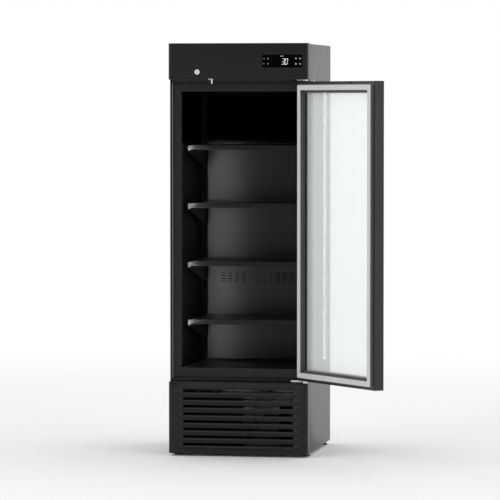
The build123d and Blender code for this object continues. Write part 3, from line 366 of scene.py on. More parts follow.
def gridFaces(rows, cols, loopRows=False, loopCols=False):
    # quads between neighbours of a rows x cols grid of points
    r, c = np.meshgrid(np.arange(rows if loopRows else rows - 1),
                       np.arange(cols if loopCols else cols - 1), indexing="ij")
    r2 = (r + 1) % rows
    c2 = (c + 1) % cols
    return np.stack([r * cols + c, r * cols + c2, r2 * cols + c2, r2 * cols + c], -1).reshape(-1, 4)


def makePiece(name, points, faces, body, finish, stands=(), wall=None, crease=32.0, closed=True):
    # a mesh from points and faces; wall thickens an open sheet inwards; closed shells get outward normals
    mesh = bpy.data.meshes.new(name)
    mesh.from_pydata(np.asarray(points, float).tolist(), [], [list(map(int, f)) for f in faces])
    mesh.update()
    shape = bmesh.new()
    shape.from_mesh(mesh)
    bmesh.ops.remove_doubles(shape, verts=shape.verts, dist=1e-6)
    bmesh.ops.dissolve_degenerate(shape, edges=shape.edges, dist=1e-7)
    loose = [v for v in shape.verts if not v.link_faces]
    bmesh.ops.delete(shape, geom=loose, context="VERTS")
    if closed:
        bmesh.ops.recalc_face_normals(shape, faces=shape.faces)
    shape.to_mesh(mesh)
    shape.free()
    mesh.polygons.foreach_set("use_smooth", np.ones(len(mesh.polygons), bool))
    mesh.set_sharp_from_angle(angle=math.radians(crease))
    piece = bpy.data.objects.new(name, mesh)
    bpy.context.scene.collection.objects.link(piece)
    mesh.materials.append(finish)
    if wall:
        solid = piece.modifiers.new("wall", "SOLIDIFY")
        solid.thickness = wall
        solid.offset = -1.0
        solid.use_even_offset = True
    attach(piece, body)
    if stands:
        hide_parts(*stands)
    return piece


def arc(centre, radius, start, end, steps):
    # points of a circle's arc: centre + radius (cos a, sin a), a from start to end in degrees
    a = np.radians(np.linspace(start, end, steps + 1))
    return np.stack([centre[0] + radius * np.cos(a), centre[1] + radius * np.sin(a)], 1)


def roundedLine(corners, radii, steps=5):
    # a line through the corners, each corner replaced by an arc of its radius
    corners = np.asarray(corners, float)
    made = [corners[:1]]
    for index in range(1, len(corners) - 1):
        p = corners[index]
        a = corners[index - 1] - p
        b = corners[index + 1] - p
        a /= np.linalg.norm(a)
        b /= np.linalg.norm(b)
        radius = radii[index]
        if radius <= 0:
            made.append(p[None])
            continue
        half = math.acos(np.clip(a @ b, -1, 1)) / 2
        reach = radius / math.tan(half)
        centre = p + (a + b) / np.linalg.norm(a + b) * radius / math.sin(half)
        first = p + a * reach - centre
        last = p + b * reach - centre
        turn = math.atan2(first[0] * last[1] - first[1] * last[0], first @ last)
        t = np.linspace(0, turn, steps + 1)[:, None]
        spun = np.hstack([first[0] * np.cos(t) - first[1] * np.sin(t),
                          first[0] * np.sin(t) + first[1] * np.cos(t)])
        made.append(centre + spun)
    made.append(corners[-1:])
    return np.vstack(made)


def roundedRing(corners, radii, steps=4):
    # the same for a closed outline
    n = len(corners)
    ring = []
    for index in range(n):
        three = [corners[index - 1], corners[index], corners[(index + 1) % n]]
        bend = roundedLine(three, [0, radii[index], 0], steps)
        ring.append(bend[1:-1])
    return np.vstack(ring)


def turned(profile, centre, axis, segments=48):
    # a profile of (radius, height) points spun about an axis through centre
    a = np.linspace(0, 2 * np.pi, segments, endpoint=False)
    r = profile[:, 0][:, None]
    h = np.repeat(profile[:, 1][:, None], segments, 1)
    x = r * np.cos(a)
    y = r * np.sin(a)
    stacked = {"Z": (x, y, h), "Y": (x, h, y)}[axis]
    points = np.stack(stacked, -1).reshape(-1, 3) + np.asarray(centre)
    return points, gridFaces(len(profile), segments, loopCols=True)


def capped(points, faces, rows, cols):
    # closes both ends of a tube grid with one face each
    ends = [list(range(cols))[::-1], list(range((rows - 1) * cols, rows * cols))]
    return points, [list(f) for f in faces] + ends


def carried(line, stops, axis):
    # a flat line of points repeated at every stop along the axis square to it
    points = np.empty((len(stops), len(line), 3))
    points[..., [other for other in range(3) if other != axis]] = line
    points[..., axis] = np.asarray(stops)[:, None]
    return points.reshape(-1, 3)


def boxMesh(low, high):
    # eight corners and six faces
    (x0, y0, z0), (x1, y1, z1) = low, high
    points = [(x, y, z) for x in (x0, x1) for y in (y0, y1) for z in (z0, z1)]
    faces = [(0, 1, 3, 2), (4, 6, 7, 5), (0, 4, 5, 1), (2, 3, 7, 6), (0, 2, 6, 4), (1, 5, 7, 3)]
    return np.array(points), faces


def joined(parts):
    # several (points, faces) pairs as one
    points, faces, count = [], [], 0
    for somePoints, someFaces in parts:
        points.append(np.asarray(somePoints, float))
        faces += [[int(i) + count for i in f] for f in someFaces]
        count += len(somePoints)
    return np.vstack(points), faces


# Cabinet sheets

body = {"half": 0.340, "front": -0.315, "back": 0.360, "rim": 0.329,
        "sealPlane": -0.301, "gap": 0.0001, "sheet": 0.0008, "rimBend": 0.0034, "cornerBend": 0.0023,
        "levels": (0.018, 0.45, 0.9, 1.35, 1.981), "across": 5}
lipEnd = body["sealPlane"] - body["gap"]


def sidePanel(side):
    # a plan line carried straight up: lip, rolled rim, front flange, corner, side face
    corners = [(body["rim"], lipEnd), (body["rim"], body["front"]),
               (body["half"], body["front"]), (body["half"], body["back"])]
    line = roundedLine(corners, [0, body["rimBend"], body["cornerBend"], 0], 8) * (side, 1)
    faces = gridFaces(len(body["levels"]), len(line))
    return carried(line, body["levels"], 2), faces if side > 0 else faces[:, ::-1]


for name, node, side in (("sidePanelLeft", "side_panel_left", -1),
                         ("sidePanelRight", "side_panel_right", 1)):
    points, faces = sidePanel(side)
    makePiece(name, points, faces, "cabinet", blackPaint, (node,), body["sheet"],
              closed=False)


# sheets under and over the mouth: heights of the far edge and of the edge at the mouth
members = {"frontSill": {"node": "front_sill", "far": 0.340, "mouth": 0.372, "order": -1, "bend": 0.0022},
           "headRail": {"node": "head_rail", "far": 1.981, "mouth": 1.800, "order": 1, "bend": 0.0022}}
for name, member in members.items():
    corners = [(body["front"], member["far"]), (body["front"], member["mouth"]), (lipEnd, member["mouth"])]
    line = roundedLine(corners, [0, member["bend"], 0], 6)
    xs = np.linspace(-body["rim"], body["rim"], body["across"])
    faces = gridFaces(len(xs), len(line))[:, ::member["order"]]
    makePiece(name, carried(line, xs, 0), faces, "cabinet", blackPaint, (member["node"],),
              body["sheet"], closed=False)

# thin light grey strips down the inner face of both rims: their grey is a painted highlight of the rolled
# rim edge
strip = {"outer": 0.3289, "inner": 0.3276, "front": -0.3142, "back": -0.3012, "low": 0.3722, "high": 1.7998,
         "radii": (0.0001, 0.0001, 0.0006, 0.0001)}


def upright(plan, radii, low, high, side=1):
    # a closed plan outline with rounded corners, carried straight up from low to high
    outline = roundedRing(plan, radii, 3) * (side, 1)
    levels = np.linspace(low, high, 6)
    faces = gridFaces(len(levels), len(outline), loopCols=True)
    return capped(carried(outline, levels, 2), faces, len(levels), len(outline))


stripPlan = [(strip["outer"], strip["back"]), (strip["outer"], strip["front"]),
             (strip["inner"], strip["front"]), (strip["inner"], strip["back"])]
points, faces = joined([upright(stripPlan, strip["radii"], strip["low"], strip["high"], side)
                        for side in (-1, 1)])
makePiece("rimHighlightStrips", points, faces, "cabinet", rimHighlightGrey, crease=30)

# beside the light strip: a hood that hides the lens from the front, and the lens that lights the shelves
hood = {"wall": -0.2962, "proud": 0.0045, "front": -0.2655, "seat": -0.2641, "rear": -0.2628, "cap": 0.0008,
        "radii": (0.0001, 0.0006, 0.0003, 0.0001, 0.0001, 0.0001), "low": 0.4260, "high": 1.7510}
lens = {"gap": 0.0001, "inset": 0.0002, "endGap": 0.001, "radii": (0.0001, 0.0001, 0.0003, 0.0001)}
hoodTop = hood["wall"] + hood["proud"]
capLow = hoodTop - hood["cap"]
hoodPlan = [(hood["wall"], hood["front"]), (hoodTop, hood["front"]), (hoodTop, hood["rear"]),
            (capLow, hood["rear"]), (capLow, hood["seat"]), (hood["wall"], hood["seat"])]
points, faces = upright(hoodPlan, hood["radii"], hood["low"], hood["high"])
makePiece("lightHood", points, faces, "cabinet", backSteel, crease=30)
lensFront = hood["seat"] + lens["gap"]
lensRear = hood["rear"] - lens["inset"]
lensPlan = [(hood["wall"], lensFront), (capLow - lens["gap"], lensFront), (capLow - lens["gap"], lensRear),
            (hood["wall"], lensRear)]
points, faces = upright(lensPlan, lens["radii"], hood["low"] + lens["endGap"], hood["high"] - lens["endGap"])
makePiece("lightLens", points, faces, "cabinet", lensGlow, crease=30)
print("cabinet sheets made")


# Folded covers

cover = {"half": 0.340, "front": -0.360, "back": -0.315, "corner": 0.012, "bend": 0.0022, "return": 0.020,
         "sheet": 0.0012, "leastRadius": 0.0004, "spacing": 0.001, "clear": 0.0006}
# a hair's breadth, for tests on which row or column a point lies
hair = 1e-5


def coverPlan(inset, xs):
    # plan line of a cover, inset from its outline: left side, corner arc, front, corner arc, right side
    radius = max(cover["corner"] - inset, cover["leastRadius"])
    x = cover["half"] - inset
    y = cover["front"] + inset
    foldStart = y + radius
    returnEnd = max(cover["front"] + cover["return"], foldStart + 2 * cover["spacing"])
    returnMiddle = max(cover["front"] + cover["return"] * 0.7, foldStart + cover["spacing"])
    sides = np.array([cover["back"], returnEnd, returnMiddle])
    left = np.stack([np.full(len(sides), -x), sides], 1)
    bend = arc((-x + radius, y + radius), radius, 180, 270, 8)
    reach = x - radius - cover["clear"]
    middle = np.stack([np.clip(xs, -reach, reach), np.full(len(xs), y)], 1)
    mirror = np.array([-1.0, 1.0])
    return np.vstack([left, bend, middle, bend[::-1] * mirror, left[::-1] * mirror])


def foldedCover(low, high, xs, levels, skip, push=None):
    # rows of the plan line at (inset, z): bottom return, bend, face, bend; then the flat top
    bend = cover["bend"]
    turnIn = arc((bend, low + bend), bend, 270, 180, 4)
    turnTop = arc((bend, high - bend), bend, 180, 90, 4)
    rows = [(cover["return"], low), (cover["return"] * 0.5, low)]
    rows += [tuple(p) for p in turnIn] + [(0.0, z) for z in levels] + [tuple(p) for p in turnTop]
    plans = np.stack([coverPlan(inset, xs) for inset, _ in rows])
    heights = np.array([z for _, z in rows])
    points = np.dstack([plans, np.repeat(heights[:, None], plans.shape[1], 1)])
    if push is not None:
        points[..., 1] += push(points)
    cols = plans.shape[1]
    faces = gridFaces(len(rows), cols)
    flat = points.reshape(-1, 3)
    middle = flat[faces].mean(1)
    gone = skip(middle)
    sideReturn = (middle[:, 2] < low + hair) & (middle[:, 1] > cover["front"] + cover["return"])
    kept = [list(f) for f in faces[~(gone | sideReturn)]]
    kept.append(list(range((len(rows) - 1) * cols, len(rows) * cols)))
    return flat, kept


header = {"low": 1.8105, "high": 1.985, "hingeHole": (0.3135, 0.3345, -0.3585),
          "boltNotch": (-0.1457, -0.1217, 1.8165), "boltPath": -0.1597, "notchBack": -0.3395,
          "guard": 0.0015, "columns": (-0.326, -0.24, 0.0, 0.15, 0.326), "middle": 1.88}
boltLeft, boltRight, boltTop = header["boltNotch"]
hingeLeft, hingeRight, hingeFront = header["hingeHole"]


def headerNotches(p):
    # openings in the bottom return for the upper hinge and the bolt, and the bolt's notch in the face
    x, y, z = p.T
    under = z < header["low"] + hair
    hinge = under & (x > hingeLeft) & (x < hingeRight) & (y > hingeFront)
    path = under & (x > header["boltPath"]) & (x < boltRight)
    bolt = (x > boltLeft) & (x < boltRight) & (z < boltTop) & (y < header["notchBack"])
    return hinge | path | bolt


# guard columns beside the openings keep the shading of the wide faces flat
guard = header["guard"]
boltPath = header["boltPath"]
headerXs = np.sort([*header["columns"], boltPath - guard, boltPath, boltLeft - guard, boltLeft, boltRight,
                    boltRight + guard, hingeLeft - guard, hingeLeft])
headerLevels = [boltTop, boltTop + guard, header["middle"]]
points, faces = foldedCover(header["low"], header["high"], headerXs, headerLevels, headerNotches)
makePiece("headerCover", points, faces, "cabinet", blackPaint, ("header_cover",),
          cover["sheet"], closed=False)

grille = {"low": 0.012, "high": 0.358, "half": 0.268, "slant": 0.003, "firstTop": 0.321, "pitch": 0.0367,
          "slot": 0.0145, "count": 8, "lean": 0.0062, "columns": (-0.326, -0.15, 0.0, 0.15, 0.326),
          "barSteps": (0.97, 0.8, 0.6, 0.4, 0.28, 0.18, 0.1, 0.04, 0.0)}
slotTops = grille["firstTop"] - grille["pitch"] * np.arange(grille["count"])
barHeight = grille["pitch"] - grille["slot"]


def grilleSlots(p):
    inside = np.abs(p[:, 0]) < grille["half"]
    front = p[:, 1] < cover["front"] + cover["corner"]
    hit = ((p[:, 2][:, None] < slotTops) & (p[:, 2][:, None] > slotTops - grille["slot"])).any(1)
    return inside & front & hit


def grillePush(p):
    # each bar leans back towards its top edge: lean * s^3, s from 0 at the bar's foot to 1 at the slot
    z = p[..., 2]
    across = np.clip((grille["half"] - np.abs(p[..., 0])) / grille["slant"], 0, 1)
    offset = np.zeros_like(z)
    for top in slotTops:
        edge = top - grille["slot"]
        s = 1 - (edge - z) / barHeight
        on = (z <= edge + hair) & (z > edge - barHeight + hair)
        offset = np.where(on, grille["lean"] * s ** 3, offset)
    face = p[..., 1] < cover["front"] + hair
    return offset * across * face


barRows = []
for top in slotTops[::-1]:
    barRows += list(top - grille["slot"] - barHeight * np.array(grille["barSteps"])) + [top]
slotEnds = np.array([grille["half"], grille["half"] - grille["slant"]])
grilleXs = np.sort([*grille["columns"], *-slotEnds, *slotEnds])
points, faces = foldedCover(grille["low"], grille["high"], grilleXs, barRows, grilleSlots, grillePush)
makePiece("grillePanel", points, faces, "cabinet", blackPaint, ("base_cover",),
          cover["sheet"], closed=False)

screwHead = {"places": (-0.175, 0.175), "height": 0.024, "radius": 0.004, "rise": 0.0022, "dome": 0.55,
             "rings": (0.12, 0.2, 0.32, 0.5, 0.7, 0.85, 0.95, 1.0, 1.0), "around": 32,
             "crossHalf": 0.13, "crossReach": 0.55, "crossDepth": 0.5}


def panHead(x, y, z, radius, rise):
    # domed head, sunk where |x| or |z| is small, which makes its cross recess
    dome = screwHead["dome"]
    a = np.linspace(0, 2 * np.pi, screwHead["around"], endpoint=False)
    r = np.array([0.0001, *screwHead["rings"]])[:, None] * radius
    drop = rise * dome * (1 - np.sqrt(np.clip(1 - (r / radius) ** 2, 0, 1)))
    px = r * np.cos(a)
    pz = r * np.sin(a)
    arm = np.minimum(np.abs(px), np.abs(pz)) < radius * screwHead["crossHalf"]
    arm = arm & (np.hypot(px, pz) < radius * screwHead["crossReach"])
    depth = np.where(arm, rise * screwHead["crossDepth"], 0.0) + drop
    depth[-1] = rise
    points = np.stack([x + px, y - rise + depth, z + pz], -1)
    return points.reshape(-1, 3), [list(f) for f in gridFaces(*px.shape, loopCols=True)]


heads = [panHead(x, cover["front"], screwHead["height"], screwHead["radius"], screwHead["rise"])
         for x in screwHead["places"]]
points, faces = joined(heads)
makePiece("coverScrewHeads", points, faces, "cabinet", shellPaint, ("cover_screws",), crease=25)
print("covers made")


# Door

door = {"half": 0.339, "low": 0.370, "high": 1.8015, "front": -0.3683, "thick": 0.050, "member": 0.036,
        "lip": 0.056, "lipDepth": 0.015, "edge": 0.004, "frontEdge": 0.0015,
        "stepRadii": (0.0012, 0.0008, 0.0002, 0.0005), "pivot": (0.324, -0.348), "open": 130.4}
boltSlot = {"right": -0.1234, "middle": -0.1354, "left": -0.1494, "near": 0.0163, "far": 0.0283,
            "depth": 0.0125, "step": 0.0001}
grip = {"u0": 0.007, "u1": 0.029, "depth": 0.020, "low": 0.790, "high": 1.390, "wall": 0.0008}


def openDoor(points):
    # turns points of the closed door about the pivot to where the door stands
    a = math.radians(door["open"])
    px, py = door["pivot"]
    x = points[:, 0] - px
    y = points[:, 1] - py
    out = points.copy()
    out[:, 0] = px + x * math.cos(a) - y * math.sin(a)
    out[:, 1] = py + x * math.sin(a) + y * math.cos(a)
    return out


def doorRing(profile, across=(), stops=()):
    # a profile of (u, w) points carried round the door: u inside its outline, w behind its face.
    # Corners are mitred; across are extra places on the top rail, stops extra heights on the free side
    u = profile[:, 0]
    w = profile[:, 1]
    x = door["half"] - u
    low = door["low"] + u
    high = door["high"] - u
    y = door["front"] + w
    rows = [(-x, low), (x, low), (x, high)] + [(np.full_like(u, place), high) for place in across]
    rows += [(-x, high)] + [(-x, np.full_like(u, z)) for z in stops]
    points = np.stack([np.stack([px, y, pz], -1) for px, pz in rows])
    return points, gridFaces(len(rows), len(u), True, True)


outer = [(0, 0), (door["lip"], 0), (door["lip"], door["lipDepth"]), (door["member"], door["lipDepth"]),
         (door["member"], door["thick"]), (0, door["thick"])]
ring = roundedRing(outer, [door["frontEdge"], *door["stepRadii"], door["edge"]], 6)
gripSteps = np.array([grip["u0"], grip["u0"] + grip["wall"], 0.5 * (grip["u0"] + grip["u1"]),
                      grip["u1"] - grip["wall"], grip["u1"]])
faceStart = int(np.argmin(np.abs(ring[:, 0] - door["frontEdge"]) + ring[:, 1]))
ring = np.vstack([ring[:faceStart + 1], np.stack([gripSteps, np.zeros(5)], 1), ring[faceStart + 1:]])
stops = [grip["high"], grip["high"] - grip["wall"], 0.5 * (grip["high"] + grip["low"]),
         grip["low"] + grip["wall"], grip["low"]]
# the slot for the bolt: entry open to the back, then a pocket to its left
step = boltSlot["step"]
slotSteps = [(0, boltSlot["far"] + step), (0, boltSlot["far"]), (0, boltSlot["near"]),
             (0, boltSlot["near"] - step)]
ring = np.vstack([ring, slotSteps])
across = [boltSlot["right"], boltSlot["right"] - step, boltSlot["middle"] + step, boltSlot["middle"],
          boltSlot["left"] + step, boltSlot["left"]]
points, faces = doorRing(ring, across, stops)
cornerRows = 3
entry = (ring[:, 1] > boltSlot["near"] - step / 2) & (ring[:, 0] < boltSlot["depth"])
pocket = entry & (ring[:, 1] < boltSlot["far"] + step / 2) & (ring[:, 0] < hair)
for row, sunk in ((1, entry), (2, entry), (3, pocket), (4, pocket)):
    points[cornerRows + row, sunk, 2] = door["high"] - boltSlot["depth"]
inGrip = (ring[:, 1] < hair) & (ring[:, 0] > grip["u0"] + hair) & (ring[:, 0] < grip["u1"] - hair)
for row in (1, 2, 3):
    points[cornerRows + len(across) + 1 + row, inGrip, 1] += grip["depth"]
makePiece("doorFrame", openDoor(points.reshape(-1, 3)), faces, "door", framePlastic,
          ("door_stile_hinge", "door_stile_free", "door_rail_top", "door_rail_bottom"), crease=30)

trim = {"rim": 0.011, "capOut": 0.017, "capIn": 0.042, "stepIn": 0.053, "leg": 0.036, "seat": 0.0501,
        "rimTop": 0.0520, "capTop": 0.0620, "stepTop": 0.0455, "pane": 0.0351,
        "radii": (0.0004, 0.0008, 0.0012, 0.0018, 0.0014, 0.0022, 0.0014, 0.0004, 0.0002, 0.0002)}
# outline of the trim in (u, w): thin outer rim, cap, leg down to the pane, step beside the glass
trimOutline = [(trim["rim"], trim["seat"]), (trim["rim"], trim["rimTop"]), (trim["capOut"], trim["rimTop"]),
               (trim["capOut"], trim["capTop"]), (trim["capIn"], trim["capTop"]),
               (trim["capIn"], trim["stepTop"]), (trim["stepIn"], trim["stepTop"]),
               (trim["stepIn"], trim["pane"]), (trim["leg"], trim["pane"]), (trim["leg"], trim["seat"])]
ring = roundedRing(trimOutline, trim["radii"], 4)
points, faces = doorRing(ring)
makePiece("doorTrim", openDoor(points.reshape(-1, 3)), faces, "door", trimPlastic, ("door_trim",),
          crease=30)

# black bead between the trim's step and the inner pane, on the hinge side only: its black paints the shade
# in the recess beside the pane
bead = {"wall": 0.0531, "top": 0.0541, "foot": 0.0549, "low": 0.0352, "high": 0.0451, "end": 0.053,
        "radii": (0.0001, 0.0003, 0.0003, 0.0002)}
beadOutline = [(bead["wall"], bead["low"]), (bead["wall"], bead["high"]), (bead["top"], bead["high"]),
               (bead["foot"], bead["low"])]
beadPlan = [(door["half"] - u, door["front"] + w) for u, w in beadOutline]
points, faces = upright(beadPlan, bead["radii"], door["low"] + bead["end"], door["high"] - bead["end"])
makePiece("recessShadeBead", openDoor(points), faces, "door", recessShadeRubber, crease=30)

gasket = {"u0": 0.0172, "u1": 0.0418, "foot": (0.0195, 0.0395), "low": 0.0621, "shoulder": 0.0633,
          "top": 0.067, "dip": 0.0009, "grooves": (0.0240, 0.0350), "grooveHalf": 0.0010,
          "radii": (0.0003, 0.0006, 0.0016) + (0.0004,) * 6 + (0.0016, 0.0006, 0.0003)}
gasketOutline = [(gasket["foot"][0], gasket["low"]), (gasket["u0"], gasket["shoulder"]),
                 (gasket["u0"], gasket["top"])]
for u in gasket["grooves"]:
    gasketOutline += [(u - gasket["grooveHalf"], gasket["top"]), (u, gasket["top"] - gasket["dip"]),
                      (u + gasket["grooveHalf"], gasket["top"])]
gasketOutline += [(gasket["u1"], gasket["top"]), (gasket["u1"], gasket["shoulder"]),
                  (gasket["foot"][1], gasket["low"])]
ring = roundedRing(gasketOutline, gasket["radii"], 4)
points, faces = doorRing(ring)
makePiece("doorGasket", openDoor(points.reshape(-1, 3)), faces, "door", gasketRubber,
          ("door_gasket",), crease=40)
print("door made")


# Controller, lock, feet

display = {"x": 0.2144, "face": -0.362, "digitHeight": 0.027, "digitZ": 1.8965, "digitWidth": 0.0110,
           "stroke": 0.0021, "strokeGap": 0.0006, "lean": 0.0036, "left": 0.2140, "step": 0.0152,
           "rise": 0.00025, "sunk": 0.0002, "dotOffset": 0.0022, "dotHalf": 0.0014, "dotStroke": 0.0026,
           "dashes": ((0.2065, 0.2125), (0.2145, 0.2205)), "dashZ": 1.9225, "dashStroke": 0.0016}
segmentLines = {"a": ((0, 1), (1, 1)), "b": ((1, 1), (1, 0.5)), "c": ((1, 0.5), (1, 0)),
                "d": ((0, 0), (1, 0)), "e": ((0, 0.5), (0, 0)), "f": ((0, 1), (0, 0.5)),
                "g": ((0, 0.5), (1, 0.5))}


def bar(start, end, width, gap=0.0):
    # a hexagonal stroke between two points on the display, standing a little proud
    start = np.array(start, float)
    end = np.array(end, float)
    along = (end - start) / np.linalg.norm(end - start)
    across = np.array([-along[1], along[0]]) * width / 2
    a = start + along * gap
    b = end - along * gap
    tip = along * width / 2
    outline = np.array([a, a + tip + across, b - tip + across, b, b - tip - across, a + tip - across])
    front = np.column_stack([outline[:, 0], np.full(6, display["face"] - display["rise"]), outline[:, 1]])
    rear = front + np.array([0, display["rise"] + display["sunk"], 0])
    faces = [[0, 1, 2, 3, 4, 5], [11, 10, 9, 8, 7, 6]]
    faces += [[i, (i + 1) % 6, (i + 1) % 6 + 6, i + 6] for i in range(6)]
    return np.vstack([front, rear]), faces


def digit(lit, left):
    # seven-segment figure: its top stands half of lean to the right, its foot half to the left
    low = display["digitZ"] - display["digitHeight"] / 2
    made = []
    for key in lit:
        ends = []
        for px, pz in segmentLines[key]:
            z = low + pz * display["digitHeight"]
            ends.append((left + px * display["digitWidth"] + (pz - 0.5) * display["lean"], z))
        made.append(bar(*ends, display["stroke"], display["strokeGap"]))
    return made


strokes = digit("abcdg", display["left"]) + digit("abcdef", display["left"] + display["step"])
dotX = display["left"] + display["digitWidth"] + display["dotOffset"]
dotZ = display["digitZ"] - display["digitHeight"] / 2
strokes.append(bar((dotX - display["dotHalf"], dotZ), (dotX + display["dotHalf"], dotZ),
                   display["dotStroke"]))
for dashLeft, dashRight in display["dashes"]:
    strokes.append(bar((dashLeft, display["dashZ"]), (dashRight, display["dashZ"]), display["dashStroke"]))
points, faces = joined(strokes)
makePiece("displayDigits", points, faces, "cabinet", digitGlow, crease=20)


def spoke(degrees):
    return math.cos(math.radians(degrees)), math.sin(math.radians(degrees))


# generic key marks: stroke width, and lines between points in half sizes
keyShapes = {
    "up": (0.0012, [((-1, -0.5), (0, 0.6)), ((0, 0.6), (1, -0.5))]),
    "down": (0.0012, [((-1, 0.5), (0, -0.6)), ((0, -0.6), (1, 0.5))]),
    "star": (0.0010, [(spoke(turn + 180), spoke(turn)) for turn in (0, 60, 120)]),
    "bars": (0.0011, [((-1, height), (1, height)) for height in (-0.7, 0, 0.7)]),
    "ring": (0.0011, [(spoke(turn), spoke(turn + 60)) for turn in range(0, 360, 60)])}


def keyMark(kind, x, z, size):
    stroke, lines = keyShapes[kind]
    place = np.array([x, z])
    return [bar(place + np.array(start) * size / 2, place + np.array(end) * size / 2, stroke)
            for start, end in lines]


keyMarks = {(0.1264, 1.9112): ("up", 0.006), (0.1458, 1.9112): ("bars", 0.0068),
            (0.1264, 1.8856): ("down", 0.006), (0.1458, 1.8856): ("star", 0.0075),
            (0.2812, 1.9112): ("star", 0.0085), (0.3010, 1.9112): ("ring", 0.007),
            (0.2812, 1.8856): ("bars", 0.0085), (0.3010, 1.8856): ("ring", 0.008)}
for pieceName, finish, side in (("displayKeys", keyGlow, 1), ("displayKeysFaint", keyFaint, -1)):
    marks = []
    for (x, z), (kind, size) in keyMarks.items():
        if (x - display["x"]) * side > 0:
            marks += keyMark(kind, x, z, size)
    points, faces = joined(marks)
    makePiece(pieceName, points, faces, "cabinet", finish, crease=20)

lock = {"x": -0.1987, "z": 1.847, "front": -0.360, "bore": 0.0102, "rim": 0.0125, "proud": 0.0024,
        "boreRound": 0.0006, "rimRound": 0.0014, "shank": 0.0112, "shankEnd": -0.342, "sunk": 0.0001,
        "around": 64}
lockFace = lock["front"] - lock["proud"]
boreRound, rimRound, around = lock["boreRound"], lock["rimRound"], lock["around"]
bezelProfile = np.vstack([
    [(lock["bore"], lock["shankEnd"]), (lock["bore"], lockFace + boreRound)],
    arc((lock["bore"] + boreRound, lockFace + boreRound), boreRound, 180, 270, 3),
    arc((lock["rim"] - rimRound, lockFace + rimRound), rimRound, 270, 360, 5),
    [(lock["rim"], lock["front"]), (lock["shank"], lock["front"] + lock["sunk"]),
     (lock["shank"], lock["shankEnd"])]])
points, faces = turned(bezelProfile, (lock["x"], 0, lock["z"]), "Y", around)
last = (len(bezelProfile) - 1) * around
seam = [[last + i, last + (i + 1) % around, (i + 1) % around, i] for i in range(around)]
makePiece("lockBezel", points, [list(f) for f in faces] + seam, "cabinet", lockNickelPaintedReflection, crease=30)

# low, high and back of the guide's three boxes
guide = {"left": -0.1747, "right": -0.1627, "front": -0.3588,
         "boxes": ((1.812, 1.8138, -0.3360), (1.8222, 1.824, -0.3328), (1.8138, 1.8222, -0.3360))}
points, faces = joined([boxMesh((guide["left"], guide["front"], low), (guide["right"], back, high))
                        for low, high, back in guide["boxes"]])
makePiece("boltGuide", points, faces, "cabinet", lockNickelPaintedReflection, ("lock_body",), crease=30)

foot = {"places": {"front_left": (-0.313, -0.268), "front_right": (0.313, -0.268),
                   "rear_left": (-0.313, 0.290), "rear_right": (0.313, 0.290)},
        "underside": ((0.0001, 0.0008), (0.015, 0.0008), (0.0155, 0.0)), "pad": 0.022, "lowRound": 0.0012,
        "topRound": 0.0015, "shoulder": 0.0065, "collar": ((0.0095, 0.009), (0.009, 0.012), (0.005, 0.0122)),
        "stem": 0.005, "pitch": 0.0015, "threadDepth": 0.0007, "threadLow": 0.013, "threadHigh": 0.051,
        "tip": ((0.004, 0.052), (0.0001, 0.052))}
threadRows = np.arange(foot["threadLow"], foot["threadHigh"], foot["pitch"] / 2)
threadRadii = np.where(np.arange(len(threadRows)) % 2 == 0, foot["stem"], foot["stem"] - foot["threadDepth"])
footProfile = np.vstack([
    foot["underside"],
    arc((foot["pad"] - foot["lowRound"], foot["lowRound"]), foot["lowRound"], 270, 360, 4),
    arc((foot["pad"] - foot["topRound"], foot["shoulder"]), foot["topRound"], 0, 70, 4),
    foot["collar"], np.column_stack([threadRadii, threadRows]), foot["tip"]])
for name, (x, y) in foot["places"].items():
    points, faces = turned(footProfile, (x, y, 0), "Z", 40)
    makePiece("levellingFoot." + name, points, faces, "foot_" + name, blackPlastic,
              ("foot_" + name,), crease=30)
print("controller, lock and feet made")


# Back of the cabinet

rearLouvre = {"rows": 8, "low": 0.150, "pitch": 0.018, "sides": (-0.130, 0.130), "width": 0.200,
              "outer": 0.3590, "inner": 0.3515, "rise": 0.007, "drop": 0.0075, "bend": 0.002, "lip": 0.004}


def louvreBlade(x, z):
    # a blade behind one rear slot: starts under the sheet above the slot and slopes inwards past its foot
    top = z + rearLouvre["rise"]
    foot = z - rearLouvre["drop"]
    corners = [(rearLouvre["outer"], top), (rearLouvre["inner"], foot + rearLouvre["lip"]),
               (rearLouvre["inner"], foot)]
    line = roundedLine(corners, [0, rearLouvre["bend"], 0], 4)
    xs = x + np.linspace(-0.5, 0.5, 3) * rearLouvre["width"]
    return carried(line, xs, 0), gridFaces(len(xs), len(line))


blades = [louvreBlade(x, rearLouvre["low"] + rearLouvre["pitch"] * row)
          for x in rearLouvre["sides"] for row in range(rearLouvre["rows"])]
points, faces = joined(blades)
makePiece("rearLouvreBlades", points, faces, "cabinet", zinc, (), body["sheet"], closed=False)

rear = {"y": 0.360, "radius": 0.0045, "rise": 0.002, "edge": 0.328, "span": (0.06, 1.94), "count": 8,
        "top": 1.955, "topPlaces": (-0.2, 0.0, 0.2), "foot": 0.036, "footPlaces": (-0.2, 0.0)}
rearHeights = np.linspace(*rear["span"], rear["count"])
rearPlaces = [(x, z) for x in (-rear["edge"], rear["edge"]) for z in rearHeights]
rearPlaces += [(x, rear["top"]) for x in rear["topPlaces"]] + [(x, rear["foot"]) for x in rear["footPlaces"]]
heads = []
for x, z in rearPlaces:
    points, faces = panHead(x, 0.0, z, rear["radius"], rear["rise"])
    points[:, 1] = rear["y"] - points[:, 1]
    heads.append((points, faces))
points, faces = joined(heads)
makePiece("rearScrewHeads", points, faces, "cabinet", nickel, crease=25)
print("rear made")


# Studio

studio = {"lens": 248.66, "camera": (2.875, -16.648, 1.714), "tilt": 87.51, "yaw": 9.81,
          "frontFill": 0.62, "backFill": 1.05, "fillSpan": (-0.9, 0.3), "behindCamera": 0.08,
          "behindSpan": (-0.92, -0.5), "floorTone": (0.84, 0.84, 0.84)}

